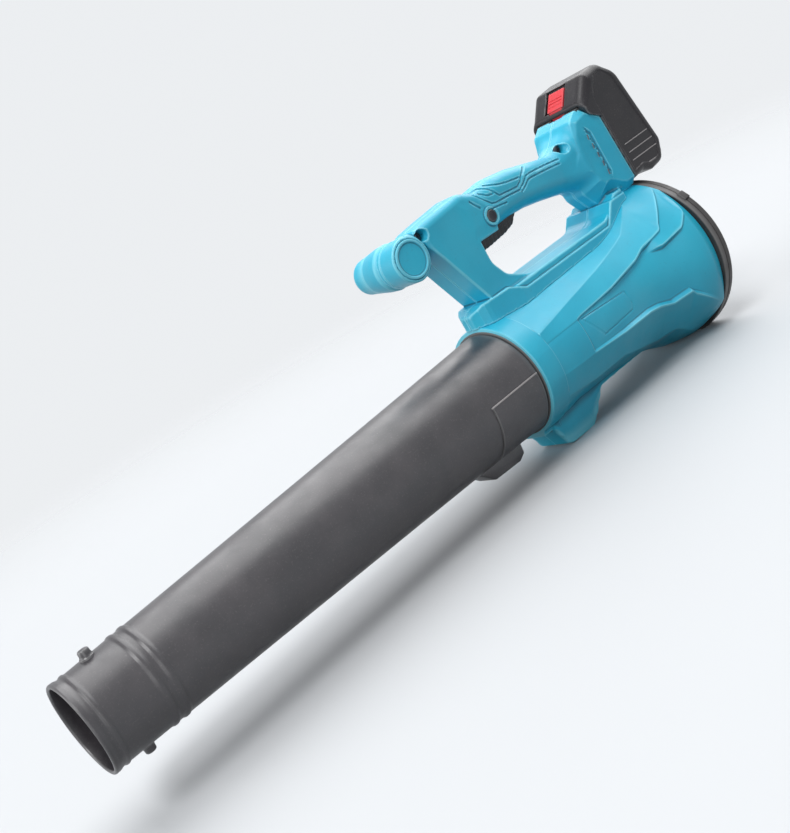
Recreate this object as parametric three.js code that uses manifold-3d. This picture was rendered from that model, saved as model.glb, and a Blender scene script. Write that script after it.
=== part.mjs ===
// Cordless leaf blower: an axial fan in a clamshell body, a D handle with a slide-on
// battery behind it, a side grip in front of it and a long tapered blower tube.
// Millimetres. Inside the machine group X runs along the air stream towards the muzzle,
// Y to the left, Z up, and the origin is on the fan axis at the body's mouth.
import * as THREE from 'three';
import { mergeVertices } from 'three/addons/utils/BufferGeometryUtils.js';
import Module from 'manifold-3d';

const wasm = await Module();
wasm.setup();

// ------------------------------------------------------------------ shared sizes
const gap = 0.3; // clearance between pieces that touch
const wall = 2.6; // moulded wall of the casings
const overlap = 1; // how far joined forms run into each other
const far = 400; // larger than the machine, for trimming

const body = {
  mouthRadius: 57,
  waistRadius: 64.5,
  rimRadius: 88,
  length: 244,
  flareStart: 165,
  restDrop: 82, // fan axis above the ground
  chamferDrop: 83.5,
  chamferAngle: -63,
  recessStart: 64,
  recessDepth: 4.6,
  recessFade: 54, // ahead of the rim
};

const duct = {
  bore: 51.5,
  outletBore: 46.6,
  front: 34,
  rib: 60, // two ribs of the casing carry the duct
  rearRib: 170,
  straightFrom: 100,
  straightTo: 190,
  lipRadius: 72,
  lipReach: 47,
  wall: 2,
  podRadius: 24,
  podWall: 2.1,
  podFront: 92,
  podRear: 158,
  vanes: 7,
};

const fan = {
  tipGap: 1.2,
  hubRadius: 22,
  hubRear: 192,
  hubFront: 164,
  blades: 9,
  bladeThickness: 2.4,
  shaftRadius: 3,
  spinnerLength: 24,
};

const motor = {
  clearance: 0.3,
  canWall: 2.2,
  front: 97,
  rear: 155,
  bearingRadius: 8,
  bearingWidth: 6,
  airGap: 0.8,
  rotorRadius: 11.4,
  teeth: 9,
};

const tube = {
  length: 459,
  rootRadius: 52,
  muzzleRadius: 36.5,
  wall: 2.2,
  shoulder: 1.5,
  insertLength: 28,
  insertRadius: 48.6,
  lugHeight: 3,
  lugLength: 8,
  twist: 25,
  beads: [61, 50], // behind the muzzle
  pegs: 30,
};

const handle = {
  halfWidth: 20,
  edge: 8,
  wall: 2.8,
  saddleHalfWidth: 28,
  saddleChamfer: 7,
  saddleTop: 71,
  loopFront: -41,
  gripBottom: 121,
};

const base = { halfWidth: 35, edge: 11, tilt: 7, x: -239, z: 128, top: 49.6 };

const battery = {
  halfWidth: 37,
  edge: 6,
  bottom: -40,
  headBottom: 50,
  headReach: 12.8,
  railHalfWidth: 27,
  neckHalfWidth: 24,
  railDepth: 15,
  lip: 3.4,
  cellRadius: 9.1,
  cellLength: 65,
  cellPitch: 18.5,
  cellLow: -19.6,
  cellFront: 12.8,
};

// The side grip's barrel tapers from the boss on the leg to a rounded end on the right.
const sideGrip = {
  x: 37,
  z: 142,
  radius: 21,
  splitRadius: 18.2,
  endRadius: 16.5,
  bossRadius: 20,
  capRadius: 17.3,
  inner: -5,
  outer: 18.5,
  split: -31,
  reach: 53,
  boltRadius: 4,
  boltHead: 12,
};
const trigger = { pivotX: -101, pivotZ: 129, halfWidth: 6.5, pinRadius: 2 };
const lock = { x: -65, z: 135, radius: 5.8, ring: 8.4 };

// Facets round a full turn, by how large the form is.
const facets = { large: 24, medium: 16, small: 12, tiny: 8 };

// Corner radius of a faceted bore whose flats clear a part that turns in it.
function turningBore(radius, segments = facets.large) {
  return (radius + gap) / Math.cos(Math.PI / segments);
}

// ------------------------------------------------------------------ materials
function plastic(color, roughness, metalness = 0) {
  return new THREE.MeshStandardMaterial({ color, roughness, metalness });
}
const teal = plastic(0x4db4cc, 0.42);
const tealDark = plastic(0x3a9ab4, 0.45);
const black = plastic(0x2b292b, 0.55);
const tubeGrey = plastic(0x55504f, 0.6);
const red = plastic(0xd0393b, 0.4);
const white = plastic(0xd9d9d4, 0.5);
const board = plastic(0x1f5d3a, 0.5);
const steel = plastic(0xb4b7ba, 0.3, 0.9);
const copper = plastic(0xb87333, 0.35, 0.9);
const cellBlue = plastic(0x3f6f9e, 0.45);

// ------------------------------------------------------------------ solid helpers
const radians = THREE.MathUtils.degToRad;
const clamp01 = (value) => THREE.MathUtils.clamp(value, 0, 1);
const smooth = (value) => THREE.MathUtils.smoothstep(value, 0, 1);

// A closed three.js geometry as a solid that can be joined and cut.
function solid(geometry) {
  geometry.deleteAttribute('normal');
  geometry.deleteAttribute('uv');
  const merged = mergeVertices(geometry, 1e-4);
  const points = merged.attributes.position;
  const corners = [];
  let volume = 0;
  const [a, b, c] = [new THREE.Vector3(), new THREE.Vector3(), new THREE.Vector3()];
  for (let i = 0; i < merged.index.count; i += 3) {
    const [p, q, r] = [merged.index.getX(i), merged.index.getX(i + 1), merged.index.getX(i + 2)];
    if (p === q || q === r || r === p) continue;
    corners.push(p, q, r);
    a.fromBufferAttribute(points, p);
    b.fromBufferAttribute(points, q);
    c.fromBufferAttribute(points, r);
    volume += a.dot(b.cross(c));
  }
  if (volume < 0) corners.reverse();
  const mesh = new wasm.Mesh({
    numProp: 3,
    vertProperties: new Float32Array(points.array),
    triVerts: new Uint32Array(corners),
  });
  return new wasm.Manifold(mesh);
}

function geometryOf(shape) {
  const mesh = shape.getMesh();
  const geometry = new THREE.BufferGeometry();
  geometry.setAttribute('position', new THREE.BufferAttribute(new Float32Array(mesh.vertProperties), 3));
  geometry.setIndex(new THREE.BufferAttribute(new Uint32Array(mesh.triVerts), 1));
  geometry.computeVertexNormals();
  return geometry;
}

const join = (...shapes) => shapes.reduce((whole, shape) => whole.add(shape));
const cut = (whole, ...tools) => tools.reduce((left, tool) => left.subtract(tool), whole);

// Box from its lowest to its highest corner.
function block(low, high) {
  const geometry = new THREE.BoxGeometry(high[0] - low[0], high[1] - low[1], high[2] - low[2]);
  geometry.translate((low[0] + high[0]) / 2, (low[1] + high[1]) / 2, (low[2] + high[2]) / 2);
  return solid(geometry);
}

// Solid of revolution about X from a closed list of [x, radius].
function revolveX(profile, segments = facets.large) {
  const points = [...profile, profile[0]].map(([x, radius]) => new THREE.Vector2(radius, x));
  return solid(new THREE.LatheGeometry(points, segments).rotateZ(-Math.PI / 2));
}

function ringX(x0, x1, outer, inner, segments = facets.large) {
  return revolveX([[x0, inner], [x1, inner], [x1, outer], [x0, outer]], segments);
}

function rodX(x0, x1, radius, segments = facets.small) {
  return revolveX([[x0, 0], [x1, 0], [x1, radius], [x0, radius]], segments);
}

// Solid of revolution about an axis parallel to Y through (x, z), from a list of [y, radius].
function revolveY(x, z, profile, segments = facets.medium) {
  const points = [...profile, profile[0]].map(([y, radius]) => new THREE.Vector2(radius, y));
  return solid(new THREE.LatheGeometry(points, segments).translate(x, 0, z));
}

function rodY(x, z, y0, y1, radius, segments = facets.small) {
  return revolveY(x, z, [[y0, 0], [y1, 0], [y1, radius], [y0, radius]], segments);
}

function tubeY(x, z, y0, y1, outer, inner, segments = facets.medium) {
  return revolveY(x, z, [[y0, inner], [y1, inner], [y1, outer], [y0, outer]], segments);
}

// Corners [a, b, radius] moved inwards by inset, with each rounded corner drawn as a curve.
function outline(corners, inset = 0, steps = 2) {
  const count = corners.length;
  const at = (i) => corners[(i + count) % count];
  const area = corners.reduce((sum, p, i) => sum + p[0] * at(i + 1)[1] - at(i + 1)[0] * p[1], 0);
  const turn = Math.sign(area);
  const shifted = corners.map((point, i) => {
    const before = new THREE.Vector2(point[0] - at(i - 1)[0], point[1] - at(i - 1)[1]).normalize();
    const after = new THREE.Vector2(at(i + 1)[0] - point[0], at(i + 1)[1] - point[1]).normalize();
    const scale = (turn * inset) / (1 + before.dot(after));
    const bend = Math.sign(turn * before.cross(after));
    const moved = new THREE.Vector2(point[0] - (before.y + after.y) * scale, point[1] + (before.x + after.x) * scale);
    return { moved, radius: (point[2] ?? 0) - bend * inset, rounded: point.length > 2 };
  });
  return shifted.flatMap(({ moved, radius, rounded }, i) => {
    if (!rounded) return [moved];
    const back = shifted[(i - 1 + count) % count].moved.clone().sub(moved);
    const onward = shifted[(i + 1) % count].moved.clone().sub(moved);
    const half = back.angleTo(onward) / 2;
    const most = 0.48 * Math.min(back.length(), onward.length());
    const reach = THREE.MathUtils.clamp(radius / Math.tan(half), 0.3, most);
    const start = moved.clone().add(back.setLength(reach));
    const end = moved.clone().add(onward.setLength(reach));
    return new THREE.QuadraticBezierCurve(start, moved, end).getPoints(steps);
  });
}

// Side-view outline in (x, z) given a width along Y, its long edges rounded or chamfered.
function slab(corners, halfWidth, edge = 0, steps = 1, inset = 0) {
  const levels = [];
  for (let i = 0; i <= (edge > 0 ? steps : 0); i += 1) {
    const angle = edge > 0 ? (Math.PI / 2) * (i / steps) : 0;
    levels.push([halfWidth - edge * (1 - Math.sin(angle)), inset + edge * (1 - Math.cos(angle))]);
  }
  const sides = [...levels.map(([y, depth]) => [-y, depth]).reverse(), ...levels];
  const rings = sides.map(([y, depth]) => outline(corners, depth).map((p) => [p.x, y, p.y]));
  return loft(rings, (ring) => ring.map(([x, , z]) => new THREE.Vector2(x, z)));
}

// Closed skin over rings of points that all run the same way round. The ends are closed by
// fans, or by triangles over their flattened outline.
function loft(rings, flatten) {
  const count = rings[0].length;
  const positions = rings.flat();
  const index = [];
  for (let ring = 0; ring + 1 < rings.length; ring += 1) {
    for (let i = 0; i < count; i += 1) {
      const next = (i + 1) % count;
      const [a, b] = [ring * count + i, ring * count + next];
      index.push(a, b, b + count, a, b + count, a + count);
    }
  }
  [0, rings.length - 1].forEach((ring, end) => {
    const flat = flatten ? flatten(rings[ring]) : null;
    const middle = positions.length;
    const fan = Array.from({ length: count }, (_, i) => [middle, i, (i + 1) % count]);
    const faces = flat ? THREE.ShapeUtils.triangulateShape(flat, []) : fan;
    if (!flat) positions.push([0, 1, 2].map((k) => rings[ring].reduce((sum, p) => sum + p[k] / count, 0)));
    const clockwise = flat ? THREE.ShapeUtils.isClockWise(flat) : false;
    const place = (i) => (i === middle && !flat ? middle : ring * count + i);
    faces.forEach(([a, b, c]) => {
      if ((end === 1) !== clockwise) index.push(place(a), place(b), place(c));
      else index.push(place(c), place(b), place(a));
    });
  });
  const geometry = new THREE.BufferGeometry();
  geometry.setAttribute('position', new THREE.Float32BufferAttribute(positions.flat(), 3));
  geometry.setIndex(index);
  return solid(geometry);
}

// One side of a moulding that is parted on the middle plane.
function half(shape, side) {
  const low = side > 0 ? gap / 2 : -far;
  const high = side > 0 ? far : -gap / 2;
  return shape.intersect(block([-far, low, -far], [far + tube.length, high, far]));
}

// ------------------------------------------------------------------ assembly helpers
const blower = new THREE.Group();
const machine = new THREE.Group();
blower.add(machine);

function piece(name, shape, material, place = machine) {
  const mesh = new THREE.Mesh(geometryOf(shape), material);
  mesh.name = name;
  place.add(mesh);
  return mesh;
}

// ------------------------------------------------------------------ body casing
// Radius of the casing: a slow swell from the mouth, a bell at the intake, and flats below.
function bodyRadius(x, angle) {
  const back = -x;
  const swell = body.mouthRadius + (body.waistRadius - body.mouthRadius) * smooth(back / body.flareStart);
  const bell = smooth((back - body.flareStart) / (body.length - body.flareStart));
  const round = swell + (body.rimRadius - body.waistRadius) * bell;
  const flat = (drop, at) => drop / Math.max(Math.cos(angle - radians(at)), 0.05);
  return Math.min(
    round,
    flat(body.restDrop, -90),
    flat(body.chamferDrop, body.chamferAngle),
    flat(body.chamferDrop, -180 - body.chamferAngle),
  );
}

// What lies below the flats under the body.
function belowFlats() {
  const below = (drop, at) => block([-far, -far, -far], [far, far, -drop]).rotate([at + 90, 0, 0]);
  return [
    below(body.restDrop, -90),
    below(body.chamferDrop, body.chamferAngle),
    below(body.chamferDrop, -180 - body.chamferAngle),
  ];
}

// How deep the side panels lie behind the raised bands at a distance behind the mouth.
function recessDepth(x) {
  if (-x < body.recessStart) return 0;
  const enter = smooth((-x - body.recessStart) / 70);
  const leave = smooth((-x - body.length + body.recessFade) / body.recessFade);
  return body.recessDepth * (0.35 + 0.65 * enter) * (1 - leave);
}

// Places along the casing where its skin changes, closer together where it flares.
const bodyStations = [0, 0.3, 0.66, 0.75, 0.83, 0.91, 1];

function bodyLoft(inset, ends = 0) {
  const count = facets.large;
  const rings = bodyStations.map((share) => {
    const x = ends - share * (body.length + 2 * ends);
    return Array.from({ length: count }, (_, k) => {
      const angle = (2 * Math.PI * k) / count;
      const radius = bodyRadius(x, angle) - inset(x);
      return [x, radius * Math.cos(angle), radius * Math.sin(angle)];
    });
  });
  return loft(rings);
}

// Side panel between the raised upper and lower bands, widening towards the intake.
const panelOutline = [
  ...[[-body.recessStart, 23], [-body.recessStart - 2, -13]],
  ...[
    [87, -14.5], [59, -25], [40, -24], [5, -51], [-6, -51], [-6, 67], [9, 67], [39, 40], [66, 34.5],
  ].map(([fromRim, z]) => [fromRim - body.length, z]),
];

const footOutline = [
  [-2, -24], [-14, -60, 6], [-28, -body.restDrop, 8], [-62, -body.restDrop, 8], [-88, -60, 10], [-98, -24],
];

function bodyOutside(growth = 0) {
  const whole = bodyLoft(() => -growth, growth > 0 ? 2 * overlap : 0);
  const sunk = bodyLoft((x) => recessDepth(x) - growth, overlap);
  const panels = cut(slab(panelOutline, 2 * body.rimRadius), sunk);
  return cut(whole, panels);
}

const footHalfWidth = 20;
const bodyScrews = [{ x: -45, z: -70 }, { x: 18 - body.length, z: -74 }];

function bodyCasing() {
  const outside = join(bodyOutside(), slab(footOutline, footHalfWidth, 9));
  const inside = bodyLoft((x) => recessDepth(x) + wall, overlap);
  const core = bodyLoft((x) => recessDepth(x) + wall - overlap, overlap);
  const rib = (x0, x1, bore) => cut(
    core.intersect(rodX(x0, x1, body.rimRadius)),
    rodX(x0 - 1, x1 + 1, bore, facets.large),
  );
  const ribs = [-duct.rib, -duct.rearRib].map((x) => rib(x - 1.3, x + 1.3, ductOuter(x) + gap));
  const stop = rib(-32.6, -30.3, tube.insertRadius - 1);
  const bosses = bodyScrews.map(({ x, z }) => rodY(x, z, -19, 19, 4.5, facets.tiny).intersect(outside));
  const bores = bodyScrews.flatMap(({ x, z }) => [
    rodY(x, z, -far, -9, 4.4),
    rodY(x, z, -10, 8, 1.8 + gap, facets.tiny),
  ]);
  return cut(join(cut(outside, inside), ...ribs, stop, ...bosses), ...bores, ...saddleScrewHoles(), ...saddleHeadRooms());
}

// ------------------------------------------------------------------ fan duct with stator
function ductInner(x) {
  const back = -x;
  if (back <= duct.straightFrom) {
    const rise = smooth((back - duct.front) / (duct.straightFrom - duct.front));
    return duct.outletBore + (duct.bore - duct.outletBore) * rise;
  }
  const along = clamp01((back - duct.straightTo) / duct.lipReach);
  return duct.bore + (duct.lipRadius - duct.bore) * (1 - Math.sqrt(1 - along * along));
}

function ductOuter(x) {
  return ductInner(x) + duct.wall;
}

// Thin curved blade standing along +Z: sections [radius, pitch, chord] about the middle x.
function blade(sections, middle, thickness, camber, turn) {
  const steps = 3;
  const rings = sections.map(([radius, pitch, chord]) => {
    const slope = radians(pitch);
    const point = (t, side) => {
      const along = (t - 0.5) * chord;
      const bow = camber * chord * (1 - (2 * t - 1) ** 2);
      const thick = (side * thickness * (0.35 + 0.65 * Math.sin(Math.PI * t))) / 2;
      const across = bow + thick;
      const x = along * Math.sin(slope) - across * Math.cos(slope);
      const y = along * Math.cos(slope) + across * Math.sin(slope);
      return [middle + x, turn * y, Math.sqrt(Math.max(radius * radius - y * y, 1))];
    };
    const upper = Array.from({ length: steps }, (_, i) => point(i / steps, 1));
    const lower = Array.from({ length: steps }, (_, i) => point(1 - i / steps, -1));
    return [...upper, ...lower];
  });
  return loft(rings);
}

function aroundX(shape, count, first = 0) {
  return Array.from({ length: count }, (_, i) => shape.rotate([first + (360 * i) / count, 0, 0]));
}

function fanDuct() {
  const lip = [0, 0.55, 0.85, 0.985].map((share) => duct.straightTo + duct.lipReach * share);
  const stations = [duct.front, duct.rib, duct.straightFrom, ...lip].map((back) => -back);
  const shell = revolveX([
    ...stations.map((x) => [x, ductInner(x)]),
    ...stations.reverse().map((x) => [x, ductOuter(x)]),
  ]);
  const pod = revolveX([
    [-duct.podRear, duct.podRadius - duct.podWall], [-duct.podFront - 2.5, duct.podRadius - duct.podWall],
    [-duct.podFront - 2.5, 6], [-duct.podFront, 6], [-duct.podFront, duct.podRadius],
    [-duct.podRear, duct.podRadius],
  ], facets.medium);
  const vane = blade([
    [duct.podRadius - 1, 68, 38], [duct.bore + 1, 64, 42],
  ], -(duct.podFront + duct.podRear) / 2 - 6, 2, 0.12, -1);
  return join(shell, pod, ...aroundX(vane, duct.vanes));
}

function tailCone() {
  const front = -duct.podFront + gap;
  const profile = (inset, tip) => {
    const points = [];
    for (let i = 0; i <= 4; i += 1) {
      const t = i / 4;
      points.push([front + tip * t, (duct.podRadius - inset) * Math.cos((Math.PI / 2) * t ** 1.15)]);
    }
    return points;
  };
  const outside = profile(0, 54);
  const inside = profile(2, 50).reverse();
  outside[4][1] = 0;
  inside[0][1] = 0;
  return revolveX([...outside, ...inside], facets.medium);
}

// ------------------------------------------------------------------ fan and motor
function impeller() {
  const hub = revolveX([
    [-fan.hubRear, fan.shaftRadius + gap], [-fan.hubFront - 10, fan.shaftRadius + gap],
    [-fan.hubFront - 10, 8], [-fan.hubRear + 3, 8], [-fan.hubRear + 3, fan.hubRadius - 3],
    [-fan.hubFront, fan.hubRadius - 2.4], [-fan.hubFront, fan.hubRadius], [-fan.hubRear, fan.hubRadius],
  ], 18);
  const one = blade([
    [fan.hubRadius - 1.5, 52, 32], [36, 39, 35], [duct.bore + 2, 29, 38],
  ], -(fan.hubRear + fan.hubFront) / 2, fan.bladeThickness, 0.07, 1);
  const tipRadius = duct.bore - fan.tipGap;
  const swept = rodX(-fan.hubRear - 12, -fan.hubFront + 12, tipRadius, facets.large);
  const inHub = rodX(-fan.hubRear + 3, -fan.hubFront + 9, fan.hubRadius - 2.5, 18);
  const blades = aroundX(cut(one.intersect(swept), inHub), fan.blades);
  return join(hub, ...blades);
}

function spinnerCap() {
  const start = -fan.hubRear - gap;
  const dome = (radius, length) => Array.from({ length: 5 }, (_, i) => {
    const angle = (Math.PI / 2) * (i / 4);
    return [start - length * Math.sin(angle), i === 4 ? 0 : radius * Math.cos(angle)];
  });
  return revolveX([
    ...dome(fan.hubRadius, fan.spinnerLength),
    ...dome(fan.hubRadius - 1.8, fan.spinnerLength - 1.8).reverse(),
  ], facets.medium);
}

const canRadius = duct.podRadius - duct.podWall - motor.clearance;
const canBore = canRadius - motor.canWall;
const bearingSeat = motor.bearingRadius + gap;

function motorCan() {
  return revolveX([
    [-motor.rear, canBore], [-motor.front - 9, canBore], [-motor.front - 9, bearingSeat + 2.5],
    [-motor.front - 9 - motor.bearingWidth + 3, bearingSeat + 2.5],
    [-motor.front - 9 - motor.bearingWidth + 3, bearingSeat], [-motor.front - 2, bearingSeat],
    [-motor.front - 2, fan.shaftRadius + 1], [-motor.front, fan.shaftRadius + 1], [-motor.front, canRadius],
    [-motor.rear, canRadius],
  ], facets.medium);
}

function motorEndPlate() {
  const inner = -motor.rear - gap;
  return revolveX([
    [inner, bearingSeat], [inner + 4.5, bearingSeat], [inner + 4.5, bearingSeat + 2.4],
    [inner, bearingSeat + 2.4], [inner, canRadius], [inner - 2.4, canRadius],
    [inner - 2.4, fan.shaftRadius + 1], [inner - 1.2, fan.shaftRadius + 1], [inner - 1.2, bearingSeat],
  ], facets.medium);
}

function bearing(x0) {
  return ringX(x0, x0 + motor.bearingWidth - 0.6, motor.bearingRadius, fan.shaftRadius + gap, facets.small);
}

function motorStator() {
  const [x0, x1] = [-motor.rear + 8, -motor.front - 16];
  const ring = ringX(x0, x1, canBore - gap, canBore - gap - 2.6, facets.medium);
  const inner = motor.rotorRadius + motor.airGap;
  const tooth = join(
    block([x0, -1.5, inner + 1], [x1, 1.5, canBore - 1.5]),
    block([x0 - 3, -3.3, inner + 2], [x1 + 3, 3.3, canBore - gap - 3.4]),
  );
  return join(ring, ...aroundX(tooth, motor.teeth));
}

function motorRotor() {
  return ringX(-motor.rear + 9, -motor.front - 17, motor.rotorRadius, fan.shaftRadius + gap, facets.small);
}

function hexNut() {
  const nut = rodX(-fan.hubRear - 4.5, -fan.hubRear - gap, 5.2, 6);
  return cut(nut, rodX(-fan.hubRear - 5, -fan.hubRear, fan.shaftRadius + gap));
}

// ------------------------------------------------------------------ intake guard
const guard = { depth: 18, step: 0.8, band: 11.7, spigot: 2.5, spokes: 14, spokeWidth: 2.2, tabAngle: 20 };
const hoopShares = [0.45, 0.74];

function intakeGuard() {
  const face = -body.length - gap;
  const back = -body.length - guard.depth;
  const rimRadius = body.rimRadius - guard.step;
  const inner = rimRadius - guard.band;
  const spigot = inner + guard.spigot;
  const rim = revolveX([
    [face, rimRadius], [back + 8, rimRadius], [back + 2, rimRadius - 2.5], [back, rimRadius - 6],
    [back, inner], [face + 5, inner], [face + 5, spigot], [face, spigot],
  ]);
  const spoke = block([back + 2.5, -guard.spokeWidth / 2, 10], [back + 7.5, guard.spokeWidth / 2, inner + 1]);
  const hoops = hoopShares.map((share) => {
    const radius = share * inner;
    return ringX(back + 3, back + 6.5, radius + guard.spokeWidth / 2, radius - guard.spokeWidth / 2, guard.spokes);
  });
  const centre = rodX(back + 2, back + 7.5, 14, guard.spokes);
  const tab = block([back + 4, -5, rimRadius - 2], [back + 13, 5, rimRadius + 1.6]);
  const tabs = [guard.tabAngle - 90, 90 - guard.tabAngle].map((angle) => tab.rotate([angle, 0, 0]));
  return cut(join(rim, centre, ...hoops, ...aroundX(spoke, guard.spokes, 10), ...tabs), ...belowFlats());
}

// ------------------------------------------------------------------ blower tube
function tubeRadius(x) {
  const share = clamp01(x / tube.length);
  return tube.rootRadius + (tube.muzzleRadius - tube.rootRadius) * share ** 0.92;
}

function tubeProfile() {
  const stations = [0, tube.length / 3, tube.length - tube.beads[0] - 8];
  const outside = stations.map((x) => [Math.max(x, tube.shoulder), tubeRadius(x)]);
  const bead = (x, height, width) => [-1, 0, 1].map((k) => [
    x + (k * width) / 2,
    tubeRadius(x) + (k === 0 ? height : 0),
  ]);
  const lip = tube.length - 8;
  const lipRadius = tube.muzzleRadius + 1.2;
  return [
    [-tube.insertLength, tube.insertRadius], [tube.shoulder, tube.insertRadius],
    ...outside, ...tube.beads.flatMap((back) => bead(tube.length - back, 2.2, 9)),
    [lip - 2, tubeRadius(lip)], [lip, lipRadius], [tube.length - 1.5, lipRadius],
    [tube.length, lipRadius - 1.5], [tube.length, tube.muzzleRadius - tube.wall],
    ...[...stations].reverse().map((x) => [x, tubeRadius(x) - tube.wall]),
    [-tube.insertLength, tube.insertRadius - tube.wall],
  ];
}

// Raised curved pad on the tube: a wedge of a thicker ring between two angles.
function tubePad(x0, x1, height, from, to) {
  const ring = cut(
    revolveX([[x0, 40], [x1, 40], [x1, tubeRadius(x1) + height], [x0, tubeRadius(x0) + height]]),
    revolveX([[x0 - 1, 1], [x1 + 1, 1], [x1 + 1, tubeRadius(x1) - 1], [x0 - 1, tubeRadius(x0) - 1]]),
  );
  const span = radians(to - from) / 2;
  const reach = 2 * tube.rootRadius;
  const wedge = new THREE.Shape([
    new THREE.Vector2(0, 0),
    new THREE.Vector2(reach * Math.cos(span), -reach * Math.sin(span)),
    new THREE.Vector2(reach * Math.cos(span), reach * Math.sin(span)),
  ]);
  const sector = new THREE.ExtrudeGeometry(wedge, { depth: x1 - x0 + 2, bevelEnabled: false });
  sector.translate(0, 0, x0 - 1).rotateX(Math.PI / 2).rotateZ(Math.PI / 2);
  return ring.intersect(solid(sector).rotate([(from + to) / 2, 0, 0]));
}

const tubeLugX = -20;

function blowerTube() {
  const shell = revolveX(tubeProfile());
  const lugs = [90, 210, 330].map((angle) => {
    const lug = block(
      [tubeLugX - tube.lugLength / 2, -7, tube.insertRadius - 1.5],
      [tubeLugX + tube.lugLength / 2, 7, tube.insertRadius + tube.lugHeight],
    );
    return lug.rotate([angle - 90, 0, 0]).intersect(rodX(-30, 0, tube.insertRadius + tube.lugHeight - 0.6, facets.large));
  });
  const pad = tubePad(4, 62, 1.3, -58, 6);
  const dogOutline = [[22, -36], [24, -60, 2], [34, -63, 3], [66, -60, 3], [77, -50, 2], [78, -36]];
  const dog = cut(slab(dogOutline, 13, 3), rodX(0, 90, tubeRadius(50) - 1, facets.large));
  const pegX = tube.length - tube.pegs;
  const pegs = [1, -1].map((side) => {
    const peg = new THREE.CylinderGeometry(4.2, 4.6, 11, facets.small).rotateX(Math.PI / 2);
    return solid(peg.translate(pegX, 0, side * (tubeRadius(pegX) + 1)));
  });
  return join(shell, ...lugs, pad, dog, ...pegs);
}

function mouthRing() {
  const outer = body.mouthRadius - wall - 2 * gap;
  const inner = turningBore(tube.insertRadius);
  const track = turningBore(tube.insertRadius + tube.lugHeight - 0.6);
  const ring = ringX(-30, 0.9, outer, inner);
  const groove = ringX(tubeLugX - 4.6, tubeLugX + 4.6, track, inner - 1);
  const entry = block([tubeLugX, -7.8, inner - 2], [2, 7.8, track]);
  const entries = [90, 210, 330].map((angle) => entry.rotate([angle - 90 + tube.twist, 0, 0]));
  return cut(ring, groove, ...entries);
}

// ------------------------------------------------------------------ handle
const saddleOutline = [
  [1, 30], [1, handle.saddleTop, 3], [-187, handle.saddleTop, 10], [-212, 85, 3], [-224, 85], [-224, 30],
];

const legCorners = [
  [-36, 40], [22, 161, 6], [-44, 168, 9], [-60, 160, 8], [-68, 140, 8], [-66, handle.gripBottom - 1],
  [handle.loopFront, handle.gripBottom - 1], [handle.loopFront, 100, 14], [-50, 84, 12], [-84, 66, 14], [-90, 40],
];

const baseCorners = [
  [-262, 150], [-246, 176, 2], [-221, 178.5, 2], [-204, 168, 4], [-200, 154, 6], [-199, 138, 8],
  [-190, 120, 10], [-192, 100, 8], [-203, 85, 8], [-262, 78],
];

// Rounded hand grip: stations [x, top, bottom, half width].
const gripStations = [
  [-46, 164, 122, 18.5], [-61, 162.5, 121.5, 18], [-91, 165, 123.5, 17.4], [-119, 162, 122.5, 17.2],
  [-148, 156.5, 118, 17.4], [-173, 151, 113.5, 18.6], [-188, 157, 108, 22], [-212, 167, 98, 29],
];

function gripLoft(inset) {
  const count = 16;
  return loft(gripStations.map(([x, top, bottom, halfWidth]) => Array.from({ length: count }, (_, k) => {
    const angle = (2 * Math.PI * k) / count;
    const squash = (value) => Math.sign(value) * Math.abs(value) ** 0.78;
    const middle = (top + bottom) / 2;
    const high = (top - bottom) / 2 - inset;
    return [x, (halfWidth - inset) * squash(Math.cos(angle)), middle + high * squash(Math.sin(angle))];
  })));
}

// Frame of the battery seat: u points back out of the seat and w up along the slide.
const seatUp = new THREE.Vector2(Math.sin(radians(base.tilt)), Math.cos(radians(base.tilt)));

function seatBlock(u0, u1, w0, w1, y0, y1) {
  const shape = block([-u1, y0, w0], [-u0, y1, w1]);
  return shape.rotate([0, base.tilt, 0]).translate([base.x, 0, base.z]);
}

function seatSlab(corners, halfWidth, edge, inset = 0, steps = 1) {
  const shape = corners.map(([u, ...rest]) => [-u, ...rest]);
  return slab(shape, halfWidth - inset, Math.max(edge - inset, 1), steps, inset).rotate([0, base.tilt, 0]).translate([base.x, 0, base.z]);
}

function batteryPocket() {
  const depth = battery.railDepth + gap;
  const rail = battery.railHalfWidth + gap;
  const neck = battery.neckHalfWidth + gap;
  const floor = battery.bottom + 2 - gap;
  return join(
    seatBlock(-depth, -battery.lip, floor, 80, -rail, rail),
    seatBlock(-battery.lip - overlap, overlap, floor, 80, -neck, neck),
  );
}

const handleScrews = [{ x: 14, z: 154.5, radius: 5 }, { x: -188, z: 151, radius: 4.8 }];
const screwSeatY = 9;

function saddleScrewPlaces() {
  return [-52, -150].flatMap((x) => [-22, 22].map((lean) => ({ x, lean })));
}

function radialRod(x, lean, from, to, radius) {
  const rod = new THREE.CylinderGeometry(radius, radius, to - from, facets.tiny).rotateX(Math.PI / 2);
  return solid(rod.translate(x, 0, (from + to) / 2)).rotate([lean, 0, 0]);
}

function saddleScrewHoles() {
  return saddleScrewPlaces().map(({ x, lean }) => radialRod(x, lean, 50, 75, 1.8 + gap));
}

// The heads sit in shallow counterbores inside the casing.
function saddleHeadSeat(x) {
  return bodyRadius(x, Math.PI / 2) - recessDepth(x) - wall + 0.4;
}

function saddleHeadRooms() {
  return saddleScrewPlaces().map(({ x, lean }) => radialRod(x, lean, 45, saddleHeadSeat(x) + gap, 3.8));
}

function bossSlab() {
  const { x, z, bossRadius } = sideGrip;
  const web = slab([[5, z - 14], [x, z - bossRadius], [x, z + bossRadius], [12, z + 17]], far);
  const across = block([-far, sideGrip.inner, 0], [far, sideGrip.outer, far]);
  return join(web.intersect(across), rodY(x, z, sideGrip.inner, sideGrip.outer, bossRadius, facets.medium));
}

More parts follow.
